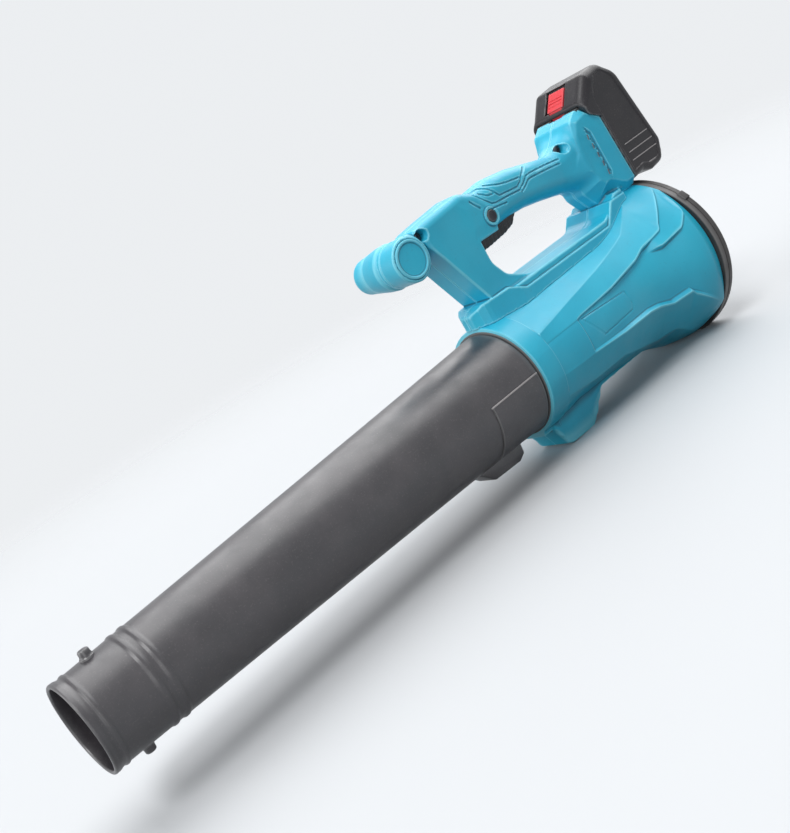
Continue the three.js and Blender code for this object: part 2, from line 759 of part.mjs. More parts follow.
function handleMoulding() {
  const saddle = slab(saddleOutline, handle.saddleHalfWidth, handle.saddleChamfer);
  const leg = slab(legCorners, handle.halfWidth, handle.edge, 2);
  const seatCut = seatBlock(-gap / 2, 80, -90, 90, -80, 80);
  const baseBlock = cut(slab(baseCorners, base.halfWidth, base.edge), seatCut);
  const topTrim = seatBlock(-60, 80, base.top, 120, -80, 80);
  return cut(
    join(saddle, leg, gripLoft(0), cut(baseBlock, topTrim), bossSlab()),
    seatCut,
    bodyOutside(gap),
    rodX(-body.length - 20, -body.length + 3, body.rimRadius + 3 * gap, facets.large),
    batteryPocket(),
  );
}

function handleHollow() {
  const inset = handle.wall;
  const leg = slab(legCorners, handle.halfWidth - inset, handle.edge - inset, 1, inset)
    .intersect(block([-far, -far, handle.saddleTop + 4], [far, far, far]));
  const baseRoom = slab(baseCorners, base.halfWidth - inset, base.edge - inset, 1, inset)
    .intersect(seatBlock(-70, -battery.railDepth - wall, -28, base.top - 4, -80, 80));
  return join(leg, gripLoft(inset), baseRoom);
}

function handleCasing() {
  const { x, z } = sideGrip;
  const moulding = handleMoulding();
  const shell = cut(moulding, handleHollow().subtract(seatBlock(-battery.railDepth - wall, 60, -90, 90, -80, 80)));
  const posts = handleScrews.map((screw) => rodY(screw.x, screw.z, -17, 17, screw.radius + 1.6, facets.tiny));
  const lockRing = tubeY(lock.x, lock.z, 14, handle.halfWidth + 0.6, lock.ring, lock.radius);
  const pinPosts = rodY(trigger.pivotX, trigger.pivotZ, -16, 16, 4.6, facets.tiny);
  const joined = join(shell, ...posts.map((post) => post.intersect(moulding)), lockRing, pinPosts.intersect(moulding));
  const screwBores = handleScrews.flatMap((screw) => [
    rodY(screw.x, screw.z, screwSeatY, far, screw.radius, facets.tiny),
    rodY(screw.x, screw.z, -15, screwSeatY + 1, 1.8 + gap, facets.tiny),
  ]);
  return cut(
    joined,
    ...screwBores,
    block([-108, -trigger.halfWidth - 2 * gap, 100], [-40.4, trigger.halfWidth + 2 * gap, 141]),
    rodY(trigger.pivotX, trigger.pivotZ, -13.5, 13.5, trigger.pinRadius + gap, facets.tiny),
    rodY(lock.x, lock.z, 0, far, lock.radius + gap, facets.medium),
    rodY(x, z, -far, far, sideGrip.boltRadius + gap, facets.tiny),
    rodY(x, z, sideGrip.boltHead, far, 8.5, facets.tiny),
    ...saddleScrewHoles().map((hole) => hole.intersect(block([-far, -far, 0], [far, far, far]))),
    seatBlock(-latchHook.reach - 0.6, -15, latchHook.low - gap, 80, -9.2, 9.2),
    terminalWindow(),
  );
}

// ------------------------------------------------------------------ battery seat parts
const latchHook = { low: 40, height: 3.5, reach: 17.4 };
const blades = [-14, 0, 14];

const terminalBack = battery.railDepth + gap;

// Window in the pocket floor that the terminal block sits in.
function terminalWindow() {
  return seatBlock(-terminalBack - 9 - gap, -terminalBack + overlap, 4 - gap, 30 + gap, -20 - gap, 20 + gap);
}

function terminalBlock() {
  const holder = seatBlock(-terminalBack - 9, -terminalBack, 4, 30, -20, 20);
  const slots = blades.map((y) => seatBlock(-40, -9, 8 - gap, 24 + gap, y - 0.5 - gap, y + 0.5 + gap));
  return cut(holder, ...slots);
}

function terminalBlade(y) {
  return seatBlock(-battery.railDepth - 7, -6, 8, 24, y - 0.5, y + 0.5);
}

// ------------------------------------------------------------------ battery
// The head's sloping face runs from its crest down to the edge above the seat.
const crest = { u: 10, w: 73.5 };
const brow = { u: -battery.headReach, w: 54 };
const slope = { u: crest.u - brow.u, w: crest.w - brow.w };
const slopeRun = 20;
const caseCorners = [
  [brow.u - slopeRun, battery.bottom], [16, battery.bottom], [30, battery.bottom - 6.5, 4],
  [49, battery.bottom - 6.5, 10], [60.5, -28, 8], [51.4, 52, 14], [38, 73, 10],
  [crest.u, crest.w, 4], [brow.u - slopeRun, brow.w - (slopeRun * slope.w) / slope.u],
];

const slopeLength = Math.hypot(slope.u, slope.w);
const slopeTilt = Math.atan2(slope.w, slope.u) * (180 / Math.PI);

// Block laid on the sloping head face: s runs up the slope and h stands out of it.
function slopeBlock(s0, s1, h0, h1, halfWidth) {
  const shape = block([-s1, -halfWidth, h0], [-s0, halfWidth, h1]);
  return shape
    .rotate([0, slopeTilt, 0])
    .translate([-brow.u, 0, brow.w])
    .rotate([0, base.tilt, 0])
    .translate([base.x, 0, base.z]);
}

function batteryCase() {
  const seatSide = join(
    seatBlock(-far, 0, -far, battery.headBottom, -far, far),
    seatBlock(-far, brow.u, -far, far, -far, far),
  );
  const outside = seatSlab(caseCorners, battery.halfWidth, battery.edge, 0, 2);
  const latchFloor = slopeBlock(-slopeRun, slopeLength + 2, -5.4 - wall, 10, 14);
  const inner = seatSlab(caseCorners, battery.halfWidth, battery.edge, wall, 1);
  const room = join(
    inner.intersect(seatBlock(-2, far, -far, battery.headBottom - wall, -far, far)),
    cut(inner.intersect(seatBlock(wall, far, 0, far, -far, far)), latchFloor),
  );
  const opening = battery.halfWidth - 5;
  const mouth = seatBlock(-2, 4, battery.bottom + wall, 46.4, -opening, opening);
  const pocket = slopeBlock(3.6, slopeLength - 1.5, -5.4, 6, 11.6);
  const tongue = seatBlock(-11.2, -3.6, 45, 62, -9.4, 9.4);
  return cut(outside, seatSide, room, mouth, pocket, tongue);
}

function batteryRailCover() {
  const inner = battery.bottom + 2;
  const plate = seatBlock(0.4, 2.6, battery.bottom + 3, 46, -battery.halfWidth + 5.4, battery.halfWidth - 5.4);
  const neck = battery.neckHalfWidth;
  const tower = join(
    seatBlock(-battery.railDepth, -gap, inner, battery.headBottom - gap, -neck, neck),
    seatBlock(-overlap, 1, battery.bottom + 3, 46, -neck, neck),
  );
  const rails = seatBlock(
    -battery.railDepth, -battery.lip - gap, inner, battery.headBottom - gap,
    -battery.railHalfWidth, battery.railHalfWidth,
  );
  const slots = blades.map((y) => seatBlock(-far, -4, -far, 24.8, y - 1.3, y + 1.3));
  const latchWell = seatBlock(-far, -3, latchHook.low - 1, far, -9.6, 9.6);
  return cut(join(plate, tower, rails), ...slots, latchWell);
}

function batteryLatch() {
  const button = slopeBlock(4, 22, -5, 0.9, 10.6);
  const grooves = [8, 11.5, 15].map((s) => slopeBlock(s, s + 1.4, 0.1, 2, 12));
  const tongue = seatBlock(-10.6, -7.2, latchHook.low, 56, -8.6, 8.6);
  const hook = seatBlock(-latchHook.reach, -8, latchHook.low, latchHook.low + latchHook.height, -8.6, 8.6);
  return join(cut(button, ...grooves), tongue, hook);
}

// Two rows of five cells; the top pair stands back to clear the latch.
function cellPack() {
  const cells = [0, 1, 2, 3, 4].flatMap((k) => [0, 18.8].map((row) => {
    const back = battery.cellFront + row + (k === 4 ? 2.6 : 0);
    const place = seatPoint(back, battery.cellLow + k * battery.cellPitch);
    return rodY(place[0], place[1], -battery.cellLength / 2, battery.cellLength / 2, battery.cellRadius, facets.tiny);
  }));
  const strip = (y) => seatBlock(10, 34, battery.cellLow - 6, 60, y - 0.4, y + 0.4);
  const end = battery.cellLength / 2;
  return join(...cells, strip(end), strip(-end));
}

function seatPoint(u, w) {
  return [base.x - u * seatUp.y + w * seatUp.x, base.z + u * seatUp.x + w * seatUp.y];
}

// ------------------------------------------------------------------ trigger and switch
function triggerLever() {
  const shape = [
    [-44, 106.5, 3], [-44, 128, 2], [-60, 130, 2], [-96, 134, 5], [-107, 133, 5], [-107, 124, 4], [-98, 117.5, 4],
    [-60, 107.5, 10],
  ];
  const bore = rodY(trigger.pivotX, trigger.pivotZ, -20, 20, trigger.pinRadius + gap, facets.tiny);
  return cut(slab(shape, trigger.halfWidth, 2, 1), bore);
}

function switchModule() {
  const housing = slab([[-49, 143], [-49, 155, 2], [-98, 157, 2], [-98, 143]], 11, 1);
  const contact = block([-84, -3, 141.5], [-78, 3, 144]);
  return join(housing, contact);
}

function triggerSpring() {
  const [x, low, high, radius, wire] = [-56, 130.7, 142.2, 3.2, 0.45];
  const turns = 4;
  class Helix extends THREE.Curve {
    getPoint(t, target = new THREE.Vector3()) {
      const angle = 2 * Math.PI * turns * t;
      return target.set(x + radius * Math.cos(angle), radius * Math.sin(angle), low + (high - low) * t);
    }
  }
  const section = new THREE.Shape(Array.from({ length: 5 }, (_, i) => {
    const angle = (2 * Math.PI * i) / 5;
    return new THREE.Vector2(wire * Math.cos(angle), wire * Math.sin(angle));
  }));
  return solid(new THREE.ExtrudeGeometry(section, { steps: 8 * turns, extrudePath: new Helix(), bevelEnabled: false }));
}

// ------------------------------------------------------------------ side grip
function sideGripBarrel() {
  const { x, z, radius, inner, split, splitRadius, boltRadius } = sideGrip;
  const start = inner - gap;
  const barrel = revolveY(x, z, [
    [start, 0], [start, radius - 3], [start - 3, radius - 0.6], [start - 8, radius - 0.4],
    [split + gap, splitRadius], [split + gap, 0],
  ]);
  return cut(barrel, rodY(x, z, split + 5, 0, boltRadius + gap));
}

function sideGripEnd() {
  const { x, z, splitRadius, endRadius, split, reach } = sideGrip;
  const shoulder = 9 - reach;
  const dome = Array.from({ length: 5 }, (_, i) => {
    const angle = (Math.PI / 2) * (i / 4);
    return [shoulder - 9 * Math.sin(angle), 7 + (endRadius - 7) * Math.cos(angle)];
  });
  return revolveY(x, z, [[split, 0], [split, splitRadius - 0.2], ...dome, [-reach, 0]]);
}

function sideGripCap() {
  const { x, z, capRadius, outer } = sideGrip;
  const face = outer + gap;
  return revolveY(x, z, [
    [face, 0], [face + 3.2, 0], [face + 3.2, capRadius - 3], [face + 4, capRadius - 2.4],
    [face + 4, capRadius - 1], [face + 3, capRadius], [face, capRadius],
  ]);
}

function sideGripBolt() {
  const { x, z, split, boltRadius, boltHead } = sideGrip;
  return join(rodY(x, z, split + 5.5, boltHead + 1, boltRadius), rodY(x, z, boltHead + gap, boltHead + 5, 7.4, 6));
}

// ------------------------------------------------------------------ screws
// Pan head screw along its own +Z: the head's underside is at z = 0 and the shank points down.
function screw(length, headRadius = 4, headHeight = 2.4) {
  const profile = [
    [0, 0], [headRadius, 0], [headRadius, headHeight - 0.8], [headRadius - 1, headHeight], [0, headHeight],
  ].map(([radius, z]) => new THREE.Vector2(radius, z));
  const head = solid(new THREE.LatheGeometry([...profile, profile[0]], facets.tiny).rotateX(Math.PI / 2));
  const shank = new THREE.CylinderGeometry(1.8, 1.5, length, facets.tiny).rotateX(Math.PI / 2);
  return join(head, solid(shank.translate(0, 0, 0.5 - length / 2)));
}

function placeScrew(name, length, x, y, z, turnX, headRadius) {
  const mesh = piece(name, screw(length, headRadius), steel);
  mesh.position.set(x, y, z);
  mesh.rotation.set(radians(turnX), 0, 0);
}

// ------------------------------------------------------------------ the machine
const casing = bodyCasing();
piece('body_shell_left', half(casing, 1), teal);
piece('body_shell_right', half(casing, -1), teal);
const handleShell = handleCasing();
piece('handle_shell_left', half(handleShell, 1), teal);
piece('handle_shell_right', half(handleShell, -1), teal);

piece('fan_duct', fanDuct(), black);
piece('tail_cone', tailCone(), black);
piece('intake_guard', intakeGuard(), black);
piece('mouth_ring', mouthRing(), black);
piece('blower_tube', blowerTube(), tubeGrey);

piece('impeller', impeller(), white);
piece('spinner_cap', spinnerCap(), black);
piece('impeller_nut', hexNut(), steel);
piece('motor_shaft', rodX(-fan.hubRear - 8, -motor.front - 2.5, fan.shaftRadius), steel);
piece('motor_rotor', motorRotor(), steel);
piece('motor_can', motorCan(), steel);
piece('motor_end_plate', motorEndPlate(), steel);
piece('motor_stator', motorStator(), copper);
piece('motor_bearing_front', bearing(-motor.front - 2 - gap - motor.bearingWidth + 0.6), steel);
piece('motor_bearing_rear', bearing(-motor.rear - 1.2), steel);

piece('trigger', triggerLever(), black);
piece('trigger_pin', rodY(trigger.pivotX, trigger.pivotZ, -13, 13, trigger.pinRadius, facets.tiny), steel);
piece('trigger_spring', triggerSpring(), steel);
piece('switch_module', switchModule(), black);
piece('lock_button', revolveY(lock.x, lock.z, [
  [10.5, 0], [10.5, 3], [13.5, 3], [13.5, lock.radius], [20.8, lock.radius], [21.8, lock.radius - 1], [21.8, 0],
], 20), black);
piece('controller_board', block([-10, -1, -17], [10, 1, 17]), board).position.set(-27, -4, 107);
piece('controller_heatsink', heatsink(), steel).position.set(-27, -5 - gap, 107);

piece('terminal_block', terminalBlock(), black);
blades.forEach((y, i) => piece(`terminal_blade_${i + 1}`, terminalBlade(y), copper));

piece('battery_case', batteryCase(), black);
piece('battery_rail_cover', batteryRailCover(), black);
piece('battery_latch', batteryLatch(), red);
piece('battery_cells', cellPack(), cellBlue);
piece('battery_board', seatBlock(41, 42.6, -28, 30, -26, 26), board);

piece('side_grip', sideGripBarrel(), teal);
piece('side_grip_end', sideGripEnd(), teal);
piece('side_grip_cap', sideGripCap(), tealDark);
piece('side_grip_bolt', sideGripBolt(), steel);

handleScrews.forEach(({ x, z }, i) => placeScrew(`handle_screw_${i + 1}`, 20, x, screwSeatY + gap, z, -90));
bodyScrews.forEach(({ x, z }, i) => placeScrew(`body_screw_${i + 1}`, 16, x, -9 - gap, z, 90));
saddleScrewPlaces().forEach(({ x, lean }, i) => {
  const seat = saddleHeadSeat(x);
  const [y, z] = [-seat * Math.sin(radians(lean)), seat * Math.cos(radians(lean))];
  placeScrew(`saddle_screw_${i + 1}`, 10, x, y, z, lean + 180, 3.4);
});

function heatsink() {
  const plate = block([-9, -4, -14], [9, 0, 14]);
  const fins = [-9, -5.2, -1, 3.2, 7].map((x) => block([x, -7.6, -14], [x + 2, -3, 14]));
  return join(plate, ...fins);
}

// The ground is below the bell and the foot; the origin is under the middle of the outline.
const rearMost = seatPoint(60.5, -27)[0];
machine.position.set(-(tube.length + rearMost) / 2, 0, body.restDrop);

export default blower;
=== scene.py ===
import math
from functools import reduce

import bpy
import numpy as np
from mathutils import Matrix, Vector


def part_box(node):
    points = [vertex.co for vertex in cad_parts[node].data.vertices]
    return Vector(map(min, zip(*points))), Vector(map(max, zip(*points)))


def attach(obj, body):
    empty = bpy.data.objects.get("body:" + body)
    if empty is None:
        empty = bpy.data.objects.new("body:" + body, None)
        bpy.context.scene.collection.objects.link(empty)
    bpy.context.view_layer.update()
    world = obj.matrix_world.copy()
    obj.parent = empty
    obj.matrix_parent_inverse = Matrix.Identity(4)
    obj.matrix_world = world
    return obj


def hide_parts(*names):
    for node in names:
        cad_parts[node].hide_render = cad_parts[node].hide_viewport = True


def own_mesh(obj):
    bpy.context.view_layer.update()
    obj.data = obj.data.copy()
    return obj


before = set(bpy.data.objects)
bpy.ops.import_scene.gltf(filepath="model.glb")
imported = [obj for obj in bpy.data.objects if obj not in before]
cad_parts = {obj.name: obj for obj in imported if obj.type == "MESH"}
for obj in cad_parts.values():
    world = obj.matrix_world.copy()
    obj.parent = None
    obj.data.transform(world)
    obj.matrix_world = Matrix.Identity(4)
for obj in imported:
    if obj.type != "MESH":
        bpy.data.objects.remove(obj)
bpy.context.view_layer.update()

# Pieces are drawn in millimetres from the fan axis at the body's mouth: X towards the muzzle, Y left, Z up.
tubeLength = 459
axisHeight = 82
frameShift = np.array((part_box("blower_tube")[1].x * 1000 - tubeLength, 0.0, axisHeight))
parting = 0.15  # half the seam between left and right mouldings


# ---- camera
view = {"aim": (0.0382, -0.0009, 0.1198), "distance": 0.86, "bearing": 57.24, "height": 12.68,
        "roll": -29.88, "lens": 44.37, "sensor": 36}


def addCamera():
    # stands at a bearing and height round the aim, looks at it, and is rolled about its line of sight
    bearing, height = math.radians(view["bearing"]), math.radians(view["height"])
    level = math.cos(height)
    back = Vector((level * math.cos(bearing), level * math.sin(bearing), math.sin(height)))
    camera = bpy.data.objects.new("camera", bpy.data.cameras.new("camera"))
    camera.data.lens, camera.data.sensor_width = view["lens"], view["sensor"]
    roll = Matrix.Rotation(math.radians(view["roll"]), 4, "Z")
    turn = back.to_track_quat("Z", "Y").to_matrix().to_4x4() @ roll
    camera.matrix_world = Matrix.Translation(Vector(view["aim"]) + back * view["distance"]) @ turn
    bpy.context.scene.collection.objects.link(camera)
    bpy.context.scene.camera = camera


addCamera()
print("camera set")


# ---- shader maths
class Wire:
    # one socket of a material; arithmetic on it adds Math nodes
    def __init__(self, tree, socket):
        self.tree, self.socket = tree, socket

    def node(self, kind, settings=None, inputs=None, output=0):
        # any other node: its settings first, then its sockets by name or number
        made = self.tree.nodes.new(kind)
        for name, value in (settings or {}).items():
            setattr(made, name, value)
        for name, value in (inputs or {}).items():
            if isinstance(value, Wire):
                self.tree.links.new(value.socket, made.inputs[name])
            else:
                made.inputs[name].default_value = value
        return Wire(self.tree, made.outputs[output])

    def maths(self, operation, *values):
        # one Math node over numbers and wires
        return self.node("ShaderNodeMath", {"operation": operation}, dict(enumerate(values)))

    def __add__(self, other):
        return self.maths("ADD", self, other)

    def __rsub__(self, other):
        return self.maths("SUBTRACT", other, self)

    def __mul__(self, other):
        return self.maths("MULTIPLY", self, other)

    __radd__ = __add__
    __rmul__ = __mul__

    def ramp(self, low, high, start=0.0, end=1.0):
        # runs smoothly from start to end as the value goes from low to high
        return self.node("ShaderNodeMapRange", {"interpolation_type": "SMOOTHSTEP"},
                         {"Value": self, "From Min": low, "From Max": high, "To Min": start, "To Max": end})


class Finish:
    # a material with a Principled shader and patterns on Object coordinates, in metres
    def __init__(self, name, settings):
        self.material = bpy.data.materials.new(name)
        self.material.use_nodes = True
        tree = self.material.node_tree
        self.shader = next(n for n in tree.nodes if n.type == "BSDF_PRINCIPLED")
        for key, value in settings.items():
            self.shader.inputs[key].default_value = value
        self.tree = tree
        coordinate = tree.nodes.new("ShaderNodeTexCoord")
        self.place = Wire(tree, coordinate.outputs["Object"])

    def noise(self, scale, detail=3.0, roughness=0.55, stretch=None):
        # soft cloudy noise from 0 to 1, its space stretched first when asked
        where = self.place if stretch is None else self.place.node(
            "ShaderNodeMapping", {}, {"Vector": self.place, "Scale": stretch})
        inputs = {"Vector": where, "Scale": scale, "Detail": detail, "Roughness": roughness}
        return where.node("ShaderNodeTexNoise", {}, inputs)

    def cells(self, scale, feature="F1"):
        # distance to the nearest of scattered points, or to the border between two of them
        return self.place.node("ShaderNodeTexVoronoi", {"feature": feature},
                               {"Vector": self.place, "Scale": scale})

    def edges(self):
        # above a half on outer edges, where a pale painted highlight goes, and below it in grooves, where
        # painted shade goes
        return self.place.node("ShaderNodeNewGeometry", {}, {}, 7)

    def mix(self, share, first, second):
        # first where share is 0, second where it is 1
        return self.place.node("ShaderNodeMix", {"data_type": "RGBA"}, {0: share, 6: first, 7: second}, 2)

    def paint(self, name, wire):
        # the shader's socket follows the wire
        self.tree.links.new(wire.socket, self.shader.inputs[name])

    def bump(self, height, distance, strength):
        # tilts the shading by a height pattern, distance metres deep
        inputs = {"Height": height, "Distance": distance, "Strength": strength}
        self.paint("Normal", height.node("ShaderNodeBump", {}, inputs))


def linear(red, green, blue):
    # display colour to the light values that a shader takes
    return tuple(c / 12.92 if c <= 0.04045 else ((c + 0.055) / 1.055) ** 2.4
                 for c in (red, green, blue)) + (1.0,)


mouldedTeal = {"fresh": linear(0.16, 0.73, 0.85), "secondTone": linear(0.13, 0.69, 0.815),
               "roughness": (0.36, 0.46), "grain": 1500, "grainHeight": 0.00003}


def tealPlastic(name, paintedLight=1.0):
    # moulded ABS: slow drift of tone, painted highlights on edges, painted shade in grooves, and rubbed
    # patches that shine a little more
    # a factor above 1 gives a brighter copy of the teal: painted light for a face that the lamps reach less
    fresh = tuple(c * paintedLight for c in mouldedTeal["fresh"][:3]) + (1.0,)
    secondTone = tuple(c * paintedLight for c in mouldedTeal["secondTone"][:3]) + (1.0,)
    finish = Finish(name, {"IOR": 1.5, "Specular IOR Level": 0.65})
    drift = finish.noise(14, 4).ramp(0.35, 0.65)
    speck = finish.noise(420, 2).ramp(0.62, 0.72)
    toned = finish.mix(speck * 0.18, finish.mix(drift, fresh, secondTone), linear(0.17, 0.55, 0.68))
    # outer edges turn pale cyan: a painted highlight
    toned = finish.mix(finish.edges().ramp(0.505, 0.535) * 0.6, toned, linear(0.55, 0.90, 0.97))
    # grooves turn dark teal: painted shade
    finish.paint("Base Color", finish.mix(finish.edges().ramp(0.465, 0.496, 0.75, 0), toned,
                                          linear(0.05, 0.35, 0.46)))
    rubbed = finish.noise(38, 5, 0.65).ramp(0.38, 0.62)
    low, high = mouldedTeal["roughness"]
    finish.paint("Roughness", low + (high - low) * rubbed)
    grain = finish.noise(mouldedTeal["grain"], 2) + 0.6 * finish.noise(260, 3)
    finish.bump(grain, mouldedTeal["grainHeight"], 0.5)
    return finish.material


def darkPlastic(name, colour, paler, roughness, grain=1100, height=0.00006, mottle=22, shine=0.45):
    # glass-filled nylon: mottled, with a grain, a faint bloom of dust and pale edges that are a painted
    # highlight
    finish = Finish(name, {"IOR": 1.48, "Specular IOR Level": shine})
    mottled = finish.noise(mottle, 5, 0.6).ramp(0.3, 0.7)
    dust = finish.noise(700, 3).ramp(0.55, 0.8)
    colour, paler = linear(*colour), linear(*paler)
    toned = finish.mix(dust * 0.25, finish.mix(mottled, colour, paler), linear(0.5, 0.48, 0.47))
    # the pale edge colour is a painted highlight, on the tube, battery, guard and the other dark plastics
    secondTone = tuple(0.45 * c + 0.25 for c in paler[:3]) + (1.0,)
    finish.paint("Base Color", finish.mix(finish.edges().ramp(0.518, 0.57) * 0.5, toned, secondTone))
    low, high = roughness
    finish.paint("Roughness", low + (high - low) * finish.noise(60, 4).ramp(0.3, 0.7))
    finish.bump(finish.noise(grain, 3) + 0.5 * finish.cells(grain * 0.7), height, 0.5)
    return finish.material


def brushedMetal(name, colour, roughness=(0.22, 0.4), lines=(1, 1, 14)):
    # turned or rolled metal: fine stretched lines and a little tarnish
    finish = Finish(name, {"Metallic": 1.0})
    colour = linear(*colour)
    tarnish = finish.noise(90, 4).ramp(0.4, 0.75)
    finish.paint("Base Color", finish.mix(tarnish, colour, tuple(c * 0.72 for c in colour[:3]) + (1.0,)))
    low, high = roughness
    finish.paint("Roughness", low + (high - low) * finish.noise(500, 3, 0.6, lines))
    finish.bump(finish.noise(900, 2, 0.5, lines), 0.00002, 0.4)
    return finish.material


def circuitBoard():
    # green solder mask with pale traces and tinned pads in a grid of cells
    finish = Finish("circuitBoard", {"IOR": 1.5})
    traces = finish.cells(420, "DISTANCE_TO_EDGE").ramp(0.02, 0.05, 1, 0)
    pads = finish.cells(300).ramp(0.12, 0.16, 1, 0)
    mask = finish.mix(traces, linear(0.06, 0.30, 0.17), linear(0.18, 0.48, 0.28))
    finish.paint("Base Color", finish.mix(pads, mask, linear(0.78, 0.76, 0.70)))
    finish.paint("Roughness", 0.45 - 0.15 * pads)
    finish.bump(traces + pads, 0.00003, 0.5)
    return finish.material


def shrinkSleeve():
    # printed film over a cell, slightly creased
    finish = Finish("shrinkSleeve", {"IOR": 1.45})
    crease = finish.noise(60, 5, 0.6, (1, 6, 1))
    finish.paint("Base Color", finish.mix(crease.ramp(0.4, 0.6), linear(0.20, 0.38, 0.60),
                                          linear(0.26, 0.45, 0.66)))
    finish.paint("Roughness", crease.ramp(0.3, 0.7, 0.25, 0.4))
    finish.bump(crease, 0.0001, 0.4)
    return finish.material


plastics = {
    # material name, colour, paler colour, roughness range, grain per metre and its depth, mottle, shine
    "tube": ("blowerTubeNylon", (0.135, 0.125, 0.145), (0.225, 0.21, 0.225), (0.33, 0.44), 1500, 0.00004,
             26, 1.0),
    "black": ("blackNylon", (0.09, 0.09, 0.10), (0.13, 0.125, 0.135), (0.38, 0.55)),
    "guard": ("guardNylon", (0.17, 0.16, 0.16), (0.25, 0.235, 0.23), (0.4, 0.6)),
    "battery": ("batteryShell", (0.10, 0.095, 0.115), (0.135, 0.125, 0.14), (0.32, 0.42), 1500, 0.00004,
                45, 0.4),
    # pale grey for thin lines that carry a painted highlight: the battery's ribs and the tube pad's upper
    # edge
    "rib": ("paintedHighlightLine", (0.62, 0.60, 0.60), (0.70, 0.68, 0.68), (0.35, 0.5)),
    "lock": ("lockButtonBlack", (0.06, 0.07, 0.10), (0.09, 0.10, 0.14), (0.25, 0.4)),
    "vent": ("ventShadow", (0.05, 0.24, 0.32), (0.07, 0.28, 0.36), (0.5, 0.6)),
    "latch": ("latchRed", (0.86, 0.19, 0.23), (0.90, 0.28, 0.31), (0.34, 0.45), 1300, 0.00003),
    "fan": ("fanWhite", (0.80, 0.80, 0.78), (0.86, 0.86, 0.84), (0.35, 0.5), 900, 0.00003)}
metals = {
    # material name, colour, roughness from and to, stretch of the fine lines
    "steel": ("zincSteel", (0.74, 0.75, 0.76)),
    "darkSteel": ("blackenedSteel", (0.27, 0.30, 0.33), (0.35, 0.5)),
    "lamination": ("statorLamination", (0.52, 0.50, 0.48), (0.35, 0.55), (30, 1, 1)),
    "copper": ("windingCopper", (0.80, 0.48, 0.30), (0.25, 0.4)),
    "aluminium": ("heatsinkAluminium", (0.80, 0.81, 0.82), (0.3, 0.45))}
# the cap's copy of the teal is 1.12 times brighter: painted light on the side grip's disc, which faces away
# from the lamps
finishes = {"teal": tealPlastic("tealMoulding"), "tealCapPaintedLight": tealPlastic("tealCapPaintedLightMoulding", 1.12)}
finishes.update({key: darkPlastic(*row) for key, row in plastics.items()})
finishes.update({key: brushedMetal(*row) for key, row in metals.items()})
finishes.update({"board": circuitBoard(), "sleeve": shrinkSleeve()})
print("finishes mixed")


# ---- mesh helpers
def gridFaces(rows, columns, wrapRows=False, wrapColumns=False):
    # four-cornered faces between neighbours of a grid, joined round where it wraps
    i = np.arange(rows if wrapRows else rows - 1)[:, None]
    j = np.arange(columns if wrapColumns else columns - 1)[None, :]
    nextI, nextJ = (i + 1) % rows, (j + 1) % columns
    corners = (i * columns + j, i * columns + nextJ, nextI * columns + nextJ, nextI * columns + j)
    return np.stack(corners, -1).reshape(-1, 4)


def outward(points, faces):
    # turns all faces round when the volume that they enclose comes out negative
    a, b, c, d = (points[faces[:, k]] for k in range(4))
    volume = np.einsum("ij,ij->i", a, np.cross(b, c) + np.cross(c, d)).sum()
    return points, (faces if volume > 0 else faces[:, ::-1])


def joined(*shapes):
    # several closed shapes in one mesh
    starts = np.cumsum([0] + [len(points) for points, _ in shapes])
    return (np.concatenate([points for points, _ in shapes]),
            np.concatenate([faces + start for (_, faces), start in zip(shapes, starts)]))


def mirrored(shape):
    # the same shape on the other side of the middle plane
    points, faces = shape[0] * (1, -1, 1), shape[1][:, ::-1]
    return (points, faces) + tuple(normals * (1, -1, 1) for normals in shape[2:])


def tidyFaces(faces):
    # faces with one repeated corner become triangles, and flat ones go
    same = faces == np.roll(faces, -1, axis=1)
    quads = faces[~same.any(axis=1)]
    pinched = same.sum(axis=1) == 1
    order = (same[pinched].argmax(axis=1)[:, None] + np.arange(1, 4)) % 4
    return quads, np.take_along_axis(faces[pinched], order, axis=1)


def weld(points, faces):
    # corners that lie in one place become one
    _, first, back = np.unique(np.round(points * 500).astype(np.int64), axis=0, return_index=True,
                               return_inverse=True)
    return points[first], back.reshape(-1)[faces]


# the record's slot for a finish; any other finish belongs to black_plastic
slots = {"teal": "housing_teal", "tealCapPaintedLight": "cap_teal", "tube": "tube_plastic", "latch": "latch_red",
         "fan": "fan_white", "steel": "steel", "darkSteel": "steel"}


def makePiece(name, shape, finish, body, *nodes, slot=None, smooth=34):
    # a mesh object in the row's frame that rides a body and stands for CAD nodes
    points, faces = shape[:2] if len(shape) > 2 else weld(*shape)
    quads, triangles = tidyFaces(faces)
    mesh = bpy.data.meshes.new(name)
    mesh.from_pydata(((points + frameShift) / 1000).tolist(), [], quads.tolist() + triangles.tolist())
    mesh.polygons.foreach_set("use_smooth", np.ones(len(mesh.polygons), bool))
    if len(shape) > 2:
        mesh.normals_split_custom_set_from_vertices(shape[2])
    else:
        mesh.set_sharp_from_angle(angle=math.radians(smooth))
    mesh.materials.append(finishes[finish])
    piece = bpy.data.objects.new(name, mesh)
    bpy.context.scene.collection.objects.link(piece)
    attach(piece, body)
    if nodes:
        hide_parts(*nodes)
    slot or slots.get(finish, "black_plastic")
    print(name, len(quads) * 2 + len(triangles), "triangles")
    return piece


def rounded(corners, steps=5):
    # an outline whose corners with a radius become short curves that touch both sides
    flat = []
    for k, (a, b, *radius) in enumerate(corners):
        here = np.array((a, b), float)
        if not radius:
            flat.append(here[None])
            continue
        before, after = (np.array(corners[n % len(corners)][:2]) - here for n in (k - 1, k + 1))
        lengths = np.linalg.norm(before), np.linalg.norm(after)
        u, v = before / lengths[0], after / lengths[1]
        half = math.acos(float(np.clip(u @ v, -1, 1))) / 2
        reach = min(radius[0] / math.tan(half), 0.48 * lengths[0], 0.48 * lengths[1])
        t = np.linspace(0, 1, steps)[:, None]
        flat.append((1 - t) ** 2 * (here + u * reach) + 2 * t * (1 - t) * here + t * t * (here + v * reach))
    return np.concatenate(flat)


